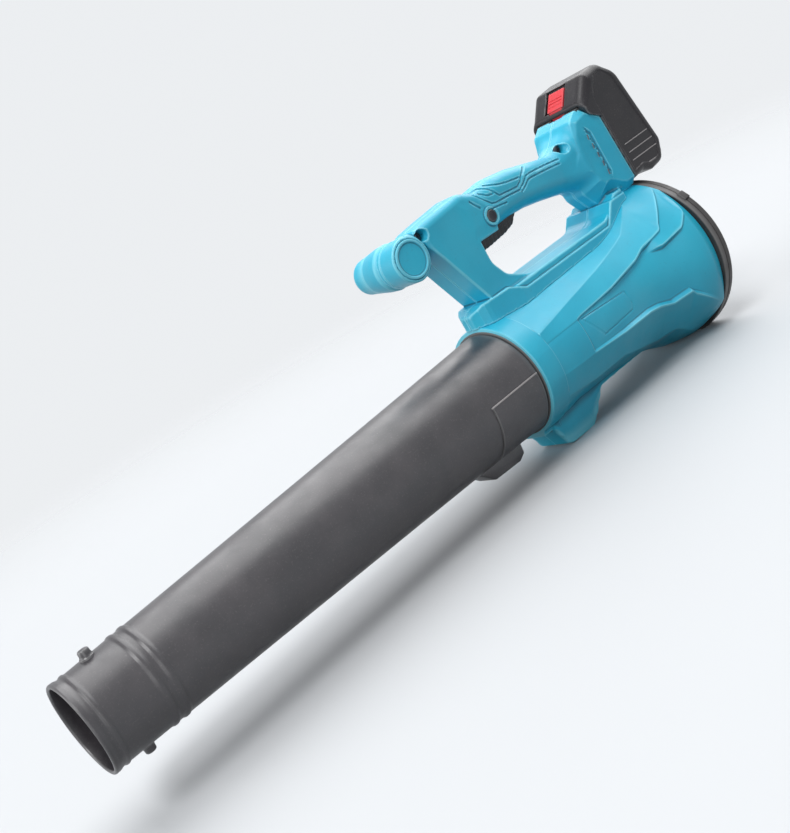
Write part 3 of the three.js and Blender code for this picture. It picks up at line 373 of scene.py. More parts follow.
def lathe(profile, turns=96, centre=(0, 0, 0), along=(1, 0, 0)):
    # a closed profile of (distance along, radius) carried round an axis
    profile, along = np.asarray(profile, float), np.asarray(along, float)
    side = np.cross(along, (0, 0, 1) if abs(along[2]) < 0.9 else (1, 0, 0))
    side /= np.linalg.norm(side)
    angle = np.arange(turns) * 2 * math.pi / turns
    ring = np.cos(angle)[:, None] * side + np.sin(angle)[:, None] * np.cross(along, side)
    points = np.asarray(centre, float) + profile[:, :1, None] * along + profile[:, 1:, None] * ring
    return outward(points.reshape(-1, 3), gridFaces(len(profile), turns, True, True))


def loft(rings):
    # rings of points joined in order, both ends closed by fans about their middles
    rings = np.asarray(rings, float)
    rows, columns = rings.shape[:2]
    points = np.concatenate((rings.reshape(-1, 3), rings[:1].mean(axis=1), rings[-1:].mean(axis=1)))
    k, far = np.arange(columns), (rows - 1) * columns
    after = (k + 1) % columns
    middle = np.full(columns, rows * columns)
    caps = np.stack((middle, after, k, k), 1), np.stack((middle + 1, far + k, far + after, far + after), 1)
    return outward(points, np.concatenate((gridFaces(rows, columns, False, True), *caps)))


def turned(shape, angle):
    # turned about the fan axis, in degrees
    c, s = math.cos(math.radians(angle)), math.sin(math.radians(angle))
    return shape[0] @ np.array(((1, 0, 0), (0, c, s), (0, -s, c))), shape[1]


def ease(value):
    # smooth step from 0 to 1
    value = np.clip(value, 0, 1)
    return value * value * (3 - 2 * value)


def raisedPatch(place, across, along, height, bevel, counts=(24, 24), sink=1.0):
    # a patch on a surface, with upright edges and a bevelled border: place(u, v, h) gives its points
    def lines(low, high, count):
        step = bevel / 2
        inner = np.linspace(low + step, high - step, count)
        return np.concatenate(([low, low], inner, [high, high]))
    u, v = lines(*across, counts[0]), lines(*along, counts[1])
    rim = lambda count: np.concatenate(([-sink, height - bevel], np.full(count, height),
                                        [height - bevel, -sink]))
    top = np.minimum(rim(counts[0])[:, None], rim(counts[1])[None, :])
    u, v = np.meshgrid(u, v, indexing="ij")
    faces = gridFaces(*u.shape)
    sheets = [place(u, v, h) for h in (top, np.full_like(top, -sink))]
    points = np.concatenate([sheet.reshape(-1, 3) for sheet in sheets])
    return outward(points, np.concatenate((faces, faces[:, ::-1] + u.size)))


# ---- surfaces from a field of distances, for mouldings that flow into each other
def runDistance(start, end, a, b):
    # square of the distance to a straight run between two points
    da, db = end[0] - start[0], end[1] - start[1]
    share = np.clip(((a - start[0]) * da + (b - start[1]) * db) / (da * da + db * db + 1e-12), 0, 1)
    return (a - start[0] - share * da) ** 2 + (b - start[1] - share * db) ** 2


def polygonDistance(corners, a, b):
    # distance to a closed outline, negative inside: nearest edge, and a count of edges crossed
    nearest, inside = np.inf, np.zeros(np.broadcast(a, b).shape, bool)
    for (a0, b0), (a1, b1) in zip(corners, np.roll(corners, -1, axis=0)):
        nearest = np.minimum(nearest, runDistance((a0, b0), (a1, b1), a, b))
        if b1 != b0:
            inside = inside ^ (((b0 > b) != (b1 > b)) & (a < (a1 - a0) * (b - b0) / (b1 - b0) + a0))
    return np.where(inside, -1, 1) * np.sqrt(nearest)


def lineDistance(corners, a, b):
    # distance to an open line of straight runs
    return np.sqrt(np.minimum.reduce([runDistance(*ends, a, b) for ends in zip(corners[:-1], corners[1:])]))


def plate(flat, side, halfWidth, edge):
    # an outline given a width, with its long edges rounded to a radius
    a, b = flat + edge, side - halfWidth + edge
    return np.minimum(np.maximum(a, b), 0) + np.hypot(np.maximum(a, 0), np.maximum(b, 0)) - edge


def bevelled(flat, side, halfWidth, edge, soft=1.2):
    # an outline given a width, with its long edges cut off flat
    both = softMax(flat, side - halfWidth, soft)
    return softMax(both, (flat + side - halfWidth + edge) * math.sqrt(0.5), soft)


def softMin(a, b, reach):
    # the lesser of two distances, filleted where they come within reach
    near = np.maximum(reach - np.abs(a - b), 0)
    return np.minimum(a, b) - near * near / (4 * reach)


def softMax(a, b, reach):
    # the greater of two distances, filleted in the same way
    return -softMin(-a, -b, reach)


def greatest(*values):
    # the greatest of several distances: only what all the forms share is inside
    return reduce(np.maximum, values)


def without(form, *tools):
    # a form with others cut out of it
    return greatest(form, *(-tool for tool in tools))


def box(x, y, z, low, high):
    # distance to a block between two corners
    return greatest(*(np.maximum(lo - v, v - hi) for v, lo, hi in zip((x, y, z), low, high)))


def fieldSurface(field, low, high, cell):
    # a closed surface where a field of distances is zero: each grid cell that the surface passes gets one
    # point, the middle of its crossings, then moved onto the surface along the field's slope, and the cells
    # round a crossed edge make a face; the field's slope also gives the normals
    axes = [np.arange(lo - 1.5 * cell, hi + 2.5 * cell, cell) for lo, hi in zip(low, high)]
    shape = tuple(len(axis) for axis in axes)
    value = np.broadcast_to(field(axes[0][:, None, None], axes[1][None, :, None], axes[2][None, None, :]),
                            shape)
    inside = value < 0
    offsets = np.array([(i, j, k) for i in (0, 1) for j in (0, 1) for k in (0, 1)])
    count = sum(inside[i:shape[0] - 1 + i, j:shape[1] - 1 + j, k:shape[2] - 1 + k].astype(np.int8)
                for i, j, k in offsets)
    crossed = (count > 0) & (count < 8)
    cells = np.argwhere(crossed)
    number = np.full(crossed.shape, -1)
    number[crossed] = np.arange(len(cells))
    atCorner = [value[tuple((cells + offset).T)] for offset in offsets]
    total, hits = np.zeros((len(cells), 3)), np.zeros(len(cells))
    for a in range(8):
        for bit in (1, 2, 4):
            if a & bit:
                continue
            va, vb = atCorner[a], atCorner[a | bit]
            hit = (va < 0) != (vb < 0)
            share = np.where(hit, va / np.where(hit, va - vb, 1), 0)[:, None]
            total += hit[:, None] * (offsets[a] + share * (offsets[a | bit] - offsets[a]))
            hits += hit
    start = np.array([axis[0] for axis in axes])
    points = start + (cells + total / hits[:, None]) * cell
    reach = 0.12

    def slope(where):
        x, y, z = where.T
        here = field(x, y, z)
        return here, np.stack((field(x + reach, y, z) - here, field(x, y + reach, z) - here,
                               field(x, y, z + reach) - here), 1) / reach

    first = points.copy()
    for _ in range(3):
        here, rise = slope(points)
        move = -here[:, None] * rise / np.maximum((rise * rise).sum(1), 0.05)[:, None]
        points = first + np.clip(points + move - first, -0.7 * cell, 0.7 * cell)
    normals = slope(points)[1]
    normals /= np.maximum(np.linalg.norm(normals, axis=1), 1e-9)[:, None]
    faces = []
    for axis in range(3):
        one = np.eye(3, dtype=int)[axis]
        p, q = np.eye(3, dtype=int)[(axis + 1) % 3], np.eye(3, dtype=int)[(axis + 2) % 3]
        near = inside[:shape[0] - one[0], :shape[1] - one[1], :shape[2] - one[2]]
        far = inside[one[0]:, one[1]:, one[2]:]
        edge = np.argwhere(near != far)
        edge = edge[(edge @ p > 0) & (edge @ q > 0)]
        ring = np.stack([number[tuple((edge - step).T)] for step in (p * 0, p, p + q, q)], 1)
        starts = inside[tuple(edge.T)]
        faces.append(np.where(starts[:, None], ring[:, ::-1], ring))
    faces = np.concatenate(faces)
    # faces turn outwards where the field grows
    a, b, c = (points[faces[:, k]] for k in range(3))
    if (np.cross(b - a, c - a) * normals[faces[:, 0]]).sum() < 0:
        faces = faces[:, ::-1]
    return points, faces[(faces >= 0).all(axis=1)], normals


# ---- body shells
bodyLength = 244
body = {"wall": 2.6, "bottom": axisHeight, "sideFlat": (83.5, -63), "rows": 276, "seamBevel": 0.5,
        "unroll": 60, "columns": (9, 18, 17, 4, 11, 4, 38, 5, 20, 32),
        "radius": ((0, 57), (-30, 58.4), (-80, 61.2), (-125, 62.8), (-160, 64), (-180, 67), (-195, 72.5),
                   (-210, 79), (-225, 84), (-236, 87), (-244, 88))}

# Lines that run the length of the side, as (x, degrees up from the side); neighbours bound a facet.
creaseLine = ((0, 31), (-23, 31), (-72, 37), (-124, 43), (-179, 52), (-210, 66), (-222, 74), (-244, 76))
bandLine = ((0, 21), (-64, 20), (-71, 21), (-119, 22), (-166, 27), (-180, 31), (-205, 32), (-209, 36),
            (-233, 51), (-244, 58))
bevelLine = ((0, 17), (-64, 17), (-71, 18.4), (-119, 19.4), (-166, 24), (-180, 28), (-197, 22), (-222, 23),
             (-235.5, 30), (-239.5, 46), (-244, 55))
floorLine = ((0, -11), (-64, -11.2), (-110, -14), (-150, -14.5), (-165, -16.4), (-182, -20.8),
             (-204, -17.6), (-206, -20.4), (-236, -35.6), (-244, -39.6))
slopeLine = ((0, -13), (-67, -13), (-110, -16), (-150, -16.5), (-165, -18.5), (-182, -23), (-204, -20),
             (-206, -23), (-236, -38), (-244, -42))
chinLine = ((0, -33), (-19, -33), (-60, -38), (-105, -37), (-168, -57), (-190, -51), (-218, -61),
            (-244, -62))
panelOutline = ((-70, 18), (-134, 13), (-135, -1), (-132, -6), (-86, -6.5))


def along(line, x):
    # height of a line at x, its corners eased over a few millimetres
    places, values = np.array(line, float)[::-1].T
    return sum(np.interp(x + step, places, values) for step in (-1.2, 0, 1.2)) / 3


def baseRadius(x):
    # the round form under the facets, swelling slowly to a bell
    places, values = np.array(body["radius"], float)[::-1].T
    return sum(np.interp(x + step, places, values) for step in (-9, -5, -2, 0, 2, 5, 9)) / 7


def recessDepth(x):
    # how deep the side panel lies: it starts with a step, deepens backwards and runs out at the rim
    enter, leave = ease((-x - 64) / 90), ease((-x - 196) / 46)
    return 4.9 * ease((-x - 63.5) / 2.2) * (0.3 + 0.7 * enter) * (1 - leave)


def bodyKeys(x):
    # facet corners of a cross-section, as (degrees, height over the round form, straightness to the next);
    # behind the mouth's collar the sides drop by a notch, and towards the rim the facets fade
    collar = ease((-x - 21.4) / 0.9)
    notch = 1.5 * collar * (1 - ease((-x - 22) / 28))
    rim = 1 - ease((-x - 226) / 18)
    tail, end = ease((-x - 184) / 12), 1 - ease((-x - 237) / 7)
    depth = recessDepth(x)
    ridge = 0.9 * collar * rim
    chin = ridge * (0.35 + 0.65 * ease((-x - 30) / 30))  # rounder near the mouth, to clear the tube's lugs
    one, level = np.ones_like(x), 0 * x
    band, bevel, floor = along(bandLine, x), along(bevelLine, x), along(floorLine, x)
    ledge = tail * end
    return [(90 * one, level, level), (68 * one, level, ridge), (along(creaseLine, x), ridge, ridge),
            (band, 0.5 * ridge - notch, one), (band - 1.0, -depth * (1 - tail) - 1.1 * ledge - notch, one),
            (bevel, 0.25 * ledge - depth * (1 - tail) - notch, one),
            (bevel - 1.3, -np.maximum(depth, 1.2 * ledge) - notch, 0.2 * one), (floor, -depth - notch, one),
            (along(slopeLine, x), 0.3 * ridge - notch, 0.8 * ridge),
            (along(chinLine, x), 0.5 * ridge, 0.9 * chin), (-90 * one, level, level)]


def crossRadius(x, angle, base):
    # radius at an angle: between two facet corners it follows their chord, their arc, or a share of both
    keys = bodyKeys(x)
    result = base.copy()
    for (topAngle, topHeight, straight), (lowAngle, lowHeight, _) in zip(keys[:-1], keys[1:]):
        span = np.maximum(topAngle - lowAngle, 0.2)
        share = np.clip((topAngle - angle) / span, 0, 1)
        outerTop, outerLow = base + topHeight, base + lowHeight
        wide = np.radians(span)
        chord = np.sin(wide) / (np.sin(wide * (1 - share)) / outerTop + np.sin(wide * share) / outerLow)
        arc = outerTop + (outerLow - outerTop) * share
        here = (angle <= topAngle) & (angle >= lowAngle)
        result = np.where(here, arc + (chord - arc) * straight, result)
    return result


def footRadius(x, angle):
    # the foot under the mouth: a block 40 wide with a level sole, seen from the fan axis
    sole = np.interp(x, (-90, -66, -60, -28, -22, -12), (58, 79, 82, 82, 79, 58))
    radians = np.radians(angle)
    down = sole / np.maximum(-np.sin(radians), 0.05)
    across = 20 / np.maximum(np.cos(radians), 0.05)
    return np.where(angle < -45, softMin(down, across, 6), 0)


def bodySurface(x, angle):
    # outer radius of the casing: facets with their corners eased, level flats below, sub-panel and foot
    base = baseRadius(x)
    offsets = (-0.4, -0.13, 0.13, 0.4)
    radius = sum(crossRadius(x, angle + np.degrees(step / base), base) for step in offsets) / len(offsets)
    flat = lambda drop, at: drop / np.maximum(np.cos(np.radians(angle - at)), 0.05)
    radius = softMin(radius, flat(body["bottom"], -90), 5)
    radius = softMin(radius, flat(*body["sideFlat"]), 5)
    radius = softMax(radius, footRadius(x, angle), 4)
    unrolled = np.array([(px, math.radians(deg) * body["unroll"]) for px, deg in panelOutline])
    panel = polygonDistance(unrolled, x, np.radians(angle) * body["unroll"])
    radius = radius - 0.55 * ease(1.15 - np.abs(panel) / 0.8)
    front = np.clip(1.2 + x, 0, 1.2)
    rear = np.clip(-x - bodyLength + 1.0, 0, 1.0)
    return radius - 0.6 * (front * front / 1.2 + rear * rear)


def bodyShell():
    # the left half: an outer and an inner sheet over the same grid, whose columns follow the facet corners
    # and whose rows are closer together at the steps behind the mouth and at both ends
    steps = np.linspace(0, 1, body["rows"])
    back = steps * bodyLength
    weight = 1 + 3 * np.exp(-((back - 22) / 2.5) ** 2) + 2.5 * np.exp(-((back - 65) / 3) ** 2)
    weight += 1.0 * (steps > 0.72) + 5 * (steps < 0.01) + 3 * (steps > 0.992)
    x = -bodyLength * np.interp(steps, np.cumsum(weight) / weight.sum() - weight[0] / weight.sum(), steps)
    x = np.sort(x)[::-1]
    x[0], x[-1] = 0, -bodyLength
    keys = [key[0] for key in bodyKeys(x)]
    columns = [keys[0]]
    for k, n in enumerate(body["columns"]):
        t = np.linspace(0, 1, n + 1)[1:]
        t = 0.6 * t + 0.4 * ease(t)  # closer together at the facet corners
        columns += [keys[k] + (keys[k + 1] - keys[k]) * s for s in t]
    angle = np.stack(columns, 1)
    edge = np.degrees(np.array((0.25, 0.7, 1.5)) / 60)
    angle = np.concatenate((angle[:, :1], 90 - edge[None] + 0 * angle[:, :3], angle[:, 1:-1],
                            -90 + edge[None, ::-1] + 0 * angle[:, :3], angle[:, -1:]), 1)
    angle = np.sort(angle, axis=1)[:, ::-1]
    places = np.broadcast_to(x[:, None], angle.shape)
    outer = bodySurface(places, angle)
    across = outer * np.cos(np.radians(angle))
    outer = outer - body["seamBevel"] * np.clip(1 - across / 0.7, 0, 1)
    inner = np.minimum(outer, baseRadius(places)) - body["wall"] - 0.4
    turn = np.radians(angle)
    sheets = [np.stack((places, np.maximum(radius * np.cos(turn), parting), radius * np.sin(turn)), -1)
              for radius in (outer, inner)]
    rows, columns = angle.shape
    faces = gridFaces(rows, columns)
    size = rows * columns
    i, j = np.arange(rows - 1), np.arange(columns - 1)
    edges = []
    for j0 in (0, columns - 1):
        a, b = i * columns + j0, (i + 1) * columns + j0
        wall = np.stack((a, b, b + size, a + size), 1)
        edges.append(wall if j0 == 0 else wall[:, ::-1])
    for i0 in (0, rows - 1):
        a, b = i0 * columns + j, i0 * columns + j + 1
        wall = np.stack((b, a, a + size, b + size), 1)
        edges.append(wall if i0 == 0 else wall[:, ::-1])
    points = np.concatenate([sheet.reshape(-1, 3) for sheet in sheets])
    return outward(points, np.concatenate((faces, faces[:, ::-1] + size, *edges)))


topTable = bodySurface(np.arange(-bodyLength, 1.0)[:, None], np.arange(40, 90.1, 0.5)[None, :])


def overBody(x, y, z):
    # height over the casing's top, between the values of a table by millimetre and half degree
    i = np.clip(x + bodyLength, 0, bodyLength - 0.01)
    j = np.clip((np.degrees(np.arctan2(z, np.abs(y))) - 40) * 2, 0, 99.99)
    row, column = i.astype(int), j.astype(int)
    ahead, across = i - row, j - column
    near = topTable[row, column] * (1 - across) + topTable[row, column + 1] * across
    far = topTable[row + 1, column] * (1 - across) + topTable[row + 1, column + 1] * across
    return np.hypot(y, z) - near - (far - near) * ahead


leftBody = bodyShell()
for name, shape, node in (("bodyShellLeft", leftBody, "body_shell_left"),
                          ("bodyShellRight", mirrored(leftBody), "body_shell_right")):
    makePiece(name, shape, "teal", "housing", node, smooth=30)


# ---- blower tube
tube = {"root": 52, "muzzle": 36.5, "wall": 2.2, "insert": 48.6, "insertLength": 28, "beads": (398, 407.5),
        "lipBead": 448, "lip": 37.6, "pegX": 428.5, "pegRadius": 4.5, "pegTop": 44.2, "padEnd": 62,
        "padAngles": (-58, 6)}


def tubeRadius(x):
    # a long taper, quicker at the root
    return tube["root"] + (tube["muzzle"] - tube["root"]) * np.clip(x / tubeLength, 0, 1) ** 0.92


def tubeProfile():
    # outside from the insert to the lip, with two beads and a rolled muzzle, and back along the bore
    x = np.concatenate((np.linspace(2.3, 388, 60), np.linspace(389, 457.4, 150)))
    radius = tubeRadius(x)
    bell = lambda at, width: np.exp(-(((x - at) / width) ** 2) ** 1.6)
    radius = radius + 1.0 * sum(bell(at, 2.3) for at in tube["beads"]) + 0.9 * bell(tube["lipBead"], 1.7)
    radius = radius + (tube["lip"] - radius) * ease((x - 451) / 4)
    outside = np.stack((x, radius), 1)
    lipTurn = np.linspace(0, math.pi, 9)
    lip = np.stack((457.4 + 1.6 * np.sin(lipTurn), tube["lip"] - 1.6 + 1.6 * np.cos(lipTurn)), 1)
    bore = np.linspace(452, 2, 40)
    inside = np.stack((bore, tubeRadius(bore) - tube["wall"]), 1)
    insert, start = tube["insert"], -tube["insertLength"]
    front = [(start, insert - tube["wall"]), (start, insert - 0.7), (start + 0.7, insert), (1.5, insert),
             (1.5, 51.3)]
    return np.concatenate((front, outside, lip, inside))


def ontoTube(x, angle, height):
    # a place on the tube's skin from distance along and degrees round
    radius, turn = tubeRadius(x) + height, np.radians(angle)
    return np.stack((x, radius * np.cos(turn), radius * np.sin(turn)), -1)


def sideSlab(corners, halfWidth, edge, steps=4, count=5):
    # an upright outline given a width, its long edges rounded by shrinking it towards its middle
    outline = rounded(corners, count)
    middle = outline.mean(axis=0)
    reach = np.linalg.norm(outline - middle, axis=1, keepdims=True)
    turn = np.linspace(0, math.pi / 2, steps)
    levels = [(halfWidth - edge + edge * math.sin(t), edge * (1 - math.cos(t))) for t in turn]
    levels = [(-y, inset) for y, inset in levels[::-1]] + levels
    rings = []
    for y, inset in levels:
        shrunk = middle + (outline - middle) * (1 - inset / reach)
        rings.append(np.stack((shrunk[:, 0], np.full(len(shrunk), y), shrunk[:, 1]), 1))
    return loft(rings)


def lug(angle):
    # a bayonet lug: a raised curved bar with rounded ends
    def place(u, v, h):
        radius, turn = tube["insert"] + h, np.radians(v)
        return np.stack((u, radius * np.cos(turn), radius * np.sin(turn)), -1)
    return raisedPatch(place, (-24, -16), (angle - 8, angle + 8), 2.4, 0.6, (6, 16))


def peg(side):
    # a short pin with a slightly domed head and a fillet at its foot
    radius, top, foot = tube["pegRadius"], tube["pegTop"], 35
    profile = [(foot, 0), (foot, radius + 1.4), (38.4, radius + 1.2), (39.4, radius + 0.25), (40.4, radius),
               (top - 1, radius - 0.2), (top - 0.3, radius - 0.7), (top, radius - 1.8), (top + 0.15, 0)]
    return lathe(profile, 40, (tube["pegX"], 0, 0), (0, 0, side))


dogOutline = [(22, -40), (24, -58.5, 3), (32, -62.5, 3), (66, -60.5, 3), (77, -50, 3), (79, -40)]
tubePad = raisedPatch(ontoTube, (3, tube["padEnd"]), tube["padAngles"], 1.3, 0.5, (40, 60))
dog = sideSlab(dogOutline, 13, 2.5)
makePiece("blowerTube", joined(lathe(tubeProfile(), 192), tubePad, dog, peg(1), peg(-1), lug(90), lug(210),
                               lug(330)), "tube", "tube", "blower_tube", smooth=32)
# a thin pale strip along the pad's upper edge: a painted highlight on the step
padEdge = raisedPatch(lambda u, v, h: ontoTube(u, v, h + 1.2), (3, tube["padEnd"] + 0.3), (5.3, 6.5), 0.35,
                      0.2, (40, 4), 1.6)
makePiece("tubePadEdge", padEdge, "rib", "tube", slot="tube_plastic")

ring = {"outer": 53.8, "inner": 49.35, "track": 51.9, "rear": 52.6}


def mouthRing():
    # a turned ring with a track for the tube's lugs inside, a fine groove outside and a thinner rear
    outer, inner, track, rear = ring.values()
    return lathe([(-30, inner), (-24.8, inner), (-24.8, track), (-15.2, track), (-15.2, inner),
                  (0.2, inner), (0.9, inner + 0.7), (0.9, outer - 0.8), (0.3, outer), (-1.2, outer),
                  (-1.6, outer - 0.5), (-2.4, outer - 0.5), (-2.8, outer), (-17.8, outer), (-19, rear),
                  (-30, rear)], 144)


makePiece("mouthRing", mouthRing(), "black", "housing", "mouth_ring")


# ---- handle mouldings
seat = {"x": -239, "z": 128, "tilt": 7, "top": 49.6, "railHalfWidth": 27.3, "neckHalfWidth": 24.3,
        "depth": 15.3, "lip": 3.4, "floor": -38.3}
handle = {"halfWidth": 20, "baseHalfWidth": 35.4, "wall": 2.8,
          "strip": [(1.5, 30), (1.5, 70, 4), (-9, 74.5, 2), (-40, 74.5, 2), (-58, 65.3, 2), (-184, 65.3, 3),
                    (-201, 84, 3), (-224, 84), (-224, 30)],
          "beam": [(-24, 40), (-24, 71.5), (-187, 71.5, 22), (-212, 88), (-224, 88), (-224, 40)],
          "leg": [(-36, 40), (22, 161, 7), (-7, 164.5, 40), (-44, 168, 10), (-62, 160, 12), (-72, 140, 8),
                  (-66, 121), (-40.6, 121), (-40.6, 100, 16), (-50, 84, 14), (-86, 66, 14), (-92, 40)],
          "grip": [(-30, 164), (-62, 162.5, 30), (-91, 165.5, 40), (-119, 162.5, 60), (-148, 156.5, 60),
                   (-176, 150.5, 30), (-190, 156, 12), (-212, 172), (-212, 104), (-173, 113, 40),
                   (-148, 118, 60), (-119, 122.5, 60), (-91, 123.6, 60), (-61, 121.4, 30), (-30, 121)],
          "base": [(-262, 150), (-246, 176, 3), (-221, 178.5, 3), (-204, 168, 5), (-200, 154, 6),
                   (-199, 138, 8), (-190, 120, 10), (-192, 100, 8), (-203, 85, 8), (-262, 78)]}
sideGrip = {"x": 37, "z": 142, "boss": 20, "inner": -5, "outer": 18.5, "cap": 17.3, "reach": 53,
            "split": -31}
gripLines = [[(-80, 160.5), (-91, 155.5), (-103, 152.3), (-120, 149.8)],
             [(-58, 161), (-73, 161), (-79, 157), (-88, 146), (-102, 144.6), (-112.5, 143.6), (-118, 146),
              (-125, 151), (-135, 155.5)], [(-59, 159.5), (-65.5, 152.5), (-75, 143.8), (-80, 142.2),
                                            (-97, 141.3), (-114, 139.7), (-121, 143), (-129, 147.6),
                                            (-135, 147.9), (-156, 146.3), (-178, 143.8)],
             [(-115, 137.3), (-122, 139.8), (-129, 143.3), (-133.5, 143.8), (-154, 142), (-176, 139.8)],
             [(-50, 156), (-54, 150.5), (-58, 146)], [(-68, 140), (-81, 138.5), (-92, 137)],
             [(-68, 157), (-72, 154), (-75, 151.5), (-81.5, 150.5)]]
sidePanel = [(-212, 160), (-218.5, 150), (-222, 108), (-218, 98), (-212, 105), (-205.5, 136), (-200.5, 140),
             (-204, 148)]


trigger = {"outline": [(-49, 110, 3), (-44, 128, 2), (-60, 130, 2), (-96, 134, 5), (-107, 133, 5),
                       (-107, 124, 4), (-97, 115.5, 6), (-84, 112.6, 20), (-62, 110.6, 10)],
           "halfWidth": 6.5, "pivot": (-101, 129)}
lockPlace = (-65, 135)
handleScrews = ((14, 154.5, 5), (-188, 151, 4.8))  # X, Z and the radius of the counterbore
bodyScrews = ((-45, -70), (-226, -74))


def seatPlace(x, z):
    # distance back out of the battery seat, and up along its slide
    c, s = math.cos(math.radians(seat["tilt"])), math.sin(math.radians(seat["tilt"]))
    dx, dz = x - seat["x"], z - seat["z"]
    return -dx * c + dz * s, dx * s + dz * c


def awayFrom(place, x, z):
    # distance from a point of the side view
    return np.hypot(x - place[0], z - place[1])


def shoulder(u, side, w):
    # distance over the slanting parting beside the seat's top, where the battery's head hangs lower
    return (side + w + 0.7 * (u + 13) - 75.4) / 1.58


def stripWidth(x):
    # half the width of the saddle strip, which spreads backwards from a rounded nose
    return np.interp(-x, (-2, 4, 10, 14, 50, 161), (6, 14, 18.5, 20, 27.2, 31))


def handleForm(x, side, z):
    # the solid form: saddle strip, beam, leg, grip and battery base flow into each other
    away = lambda name: polygonDistance(handleOutlines[name], x, z)
    strip = bevelled(away("strip"), side, stripWidth(x), 0.9, 0.4)
    beam = plate(away("beam"), side, stripWidth(x) - 1.6, 2)
    leg = plate(away("leg"), side, handle["halfWidth"] - 0.6 * ease((z - 120) / 40),
                1.6 + 6 * ease((z - 132) / 24))
    grip = plate(away("grip"), side, 17.6 + 7 * ease((-x - 172) / 34), 14.5)
    front = 10.5 + 13 * ease((142 - z) / 34) * ease((x + 236) / 22)
    base = bevelled(away("base"), side, handle["baseHalfWidth"], front, 0.8)
    u, w = seatPlace(x, z)
    base = softMax(base, np.maximum(w - seat["top"], shoulder(u, side, w) + 0.2), 0.6)
    base = softMax(base, side - handle["baseHalfWidth"] - u * 0.28 - 1.2, 1.0)
    boss = awayFrom((sideGrip["x"], sideGrip["z"]), x, z) - sideGrip["boss"]
    web = polygonDistance(np.array([(4, 128), (37, 122.5), (37, 161.5), (8, 161)]), x, z)
    rim = np.maximum(boss + 2.2, 0) ** 2 / 4.4
    boss = softMax(softMin(boss, web, 2), side - sideGrip["outer"] - 2 + rim, 0.6)
    upper = softMin(softMin(leg, grip, 6), beam, 3)
    upper = softMin(upper, base, 5)
    return softMin(upper, strip, 0.3), boss


def handleField(left):
    # the moulding of one side: the form with its seam, hollow, battery pocket, bores, slot and detail
    def field(x, y, z):
        side = np.abs(y)
        form, boss = handleForm(x, side, z)
        if left:
            lockOut = awayFrom(lockPlace, x, z)
            form = softMin(form, np.maximum(np.abs(lockOut - 7.5) - 1.2, side - 21.6), 0.8)
        detail = form
        for line in gripLines:
            detail = detail + 0.85 * ease(1.3 - lineDistance(line, x, z) / 0.95) * ease((side - 6) / 5)
        detail = detail + 1.3 * ease(-polygonDistance(panelPoints, x, z) / 0.8) * (side > 30)
        u, w = seatPlace(x, z)
        whole = softMin(detail, np.where(y > 0, boss, np.maximum(boss, side + sideGrip["inner"])), 1.5)
        hollow = greatest(form + handle["wall"], 76 - z, u + seat["depth"] + handle["wall"])
        whole = without(whole, hollow, overBody(x, y, z) - 0.12)
        behindRim = x < 3.4 - bodyLength
        whole = np.maximum(whole, np.where(behindRim, 88.6 - np.hypot(y, z), -9))
        # seat behind, with the pocket for the battery's rails, the terminals' window and the latch's room
        whole = softMax(whole, u + parting, 0.8)
        depth, lip, floor = seat["depth"], seat["lip"], seat["floor"]
        rails = box(u, side, w, (-depth, -1, floor), (-lip, seat["railHalfWidth"], 90))
        neck = box(u, side, w, (-lip - 1, -1, floor), (2, seat["neckHalfWidth"], 90))
        window = box(u, side, w, (-24.6, -1, 3.7), (-14, 20.3, 30.3))
        latchRoom = box(u, side, w, (-18, -1, 39.7), (-14.9, 9.2, 90))
        triggerSlot = box(x, side, z, (-108, -1, 100), (-40.2, 7.1, 141))
        whole = without(whole, rails, neck, window, latchRoom, triggerSlot)
        # posts round the trigger's pin and the two screws, and the bores through them
        pin = awayFrom(trigger["pivot"], x, z)
        whole = np.minimum(whole, greatest(pin - 4.6, side - 16, form + 0.5, 2.3 - pin, 7.1 - side))
        for *place, radius in handleScrews:
            away = awayFrom(place, x, z)
            whole = np.minimum(whole, greatest(away - radius - 2.2, side - 26, form + 0.3))
            if left:
                flare = 0.3 * np.maximum(side - 15, 0)
                whole = without(whole, np.maximum(away - radius - flare, 9 - side))
            whole = np.maximum(whole, 2.1 - away)
        bore = 4.3
        if left:
            whole = np.maximum(whole, 6.1 - lockOut)
            bore = np.where(side > sideGrip["outer"], sideGrip["cap"] + 0.3, np.where(side > 12, 8.5, bore))
        whole = np.maximum(whole, bore - awayFrom((sideGrip["x"], sideGrip["z"]), x, z))
        return softMax(whole, parting - y if left else parting + y, 0.7)
    return field


handleOutlines = {name: rounded(handle[name]) for name in ("strip", "beam", "leg", "grip", "base")}
panelPoints = rounded([(a, b, 3) for a, b in sidePanel], 4)
cell = 1.0
for name, left, node in (("handleShellLeft", True, "handle_shell_left"),
                         ("handleShellRight", False, "handle_shell_right")):
    low, high = (0, 38) if left else (-38, 0)
    shell = fieldSurface(handleField(left), (-264, low, 42), (56, high, 181), cell)
    makePiece(name, shell, "teal", "housing", node)


def ventSlot(k):
    # a narrow dark patch on the base's side panel, painted shade standing for an opening, one of a row that
    # leans with the panel
    x, z = -208.6 - 1.3 * k, 147.6 - 9.7 * k
    place = lambda u, v, h: np.stack((x + u - 0.14 * v, 34.2 + h, z + v), -1)
    return raisedPatch(place, (-0.45, 0.45), (-2.5, 2.5), 0.35, 0.12, (4, 8), 0.8)


nearVents = joined(*[ventSlot(k) for k in range(5)])
makePiece("baseVentSlots", joined(nearVents, mirrored(nearVents)), "vent", "housing")


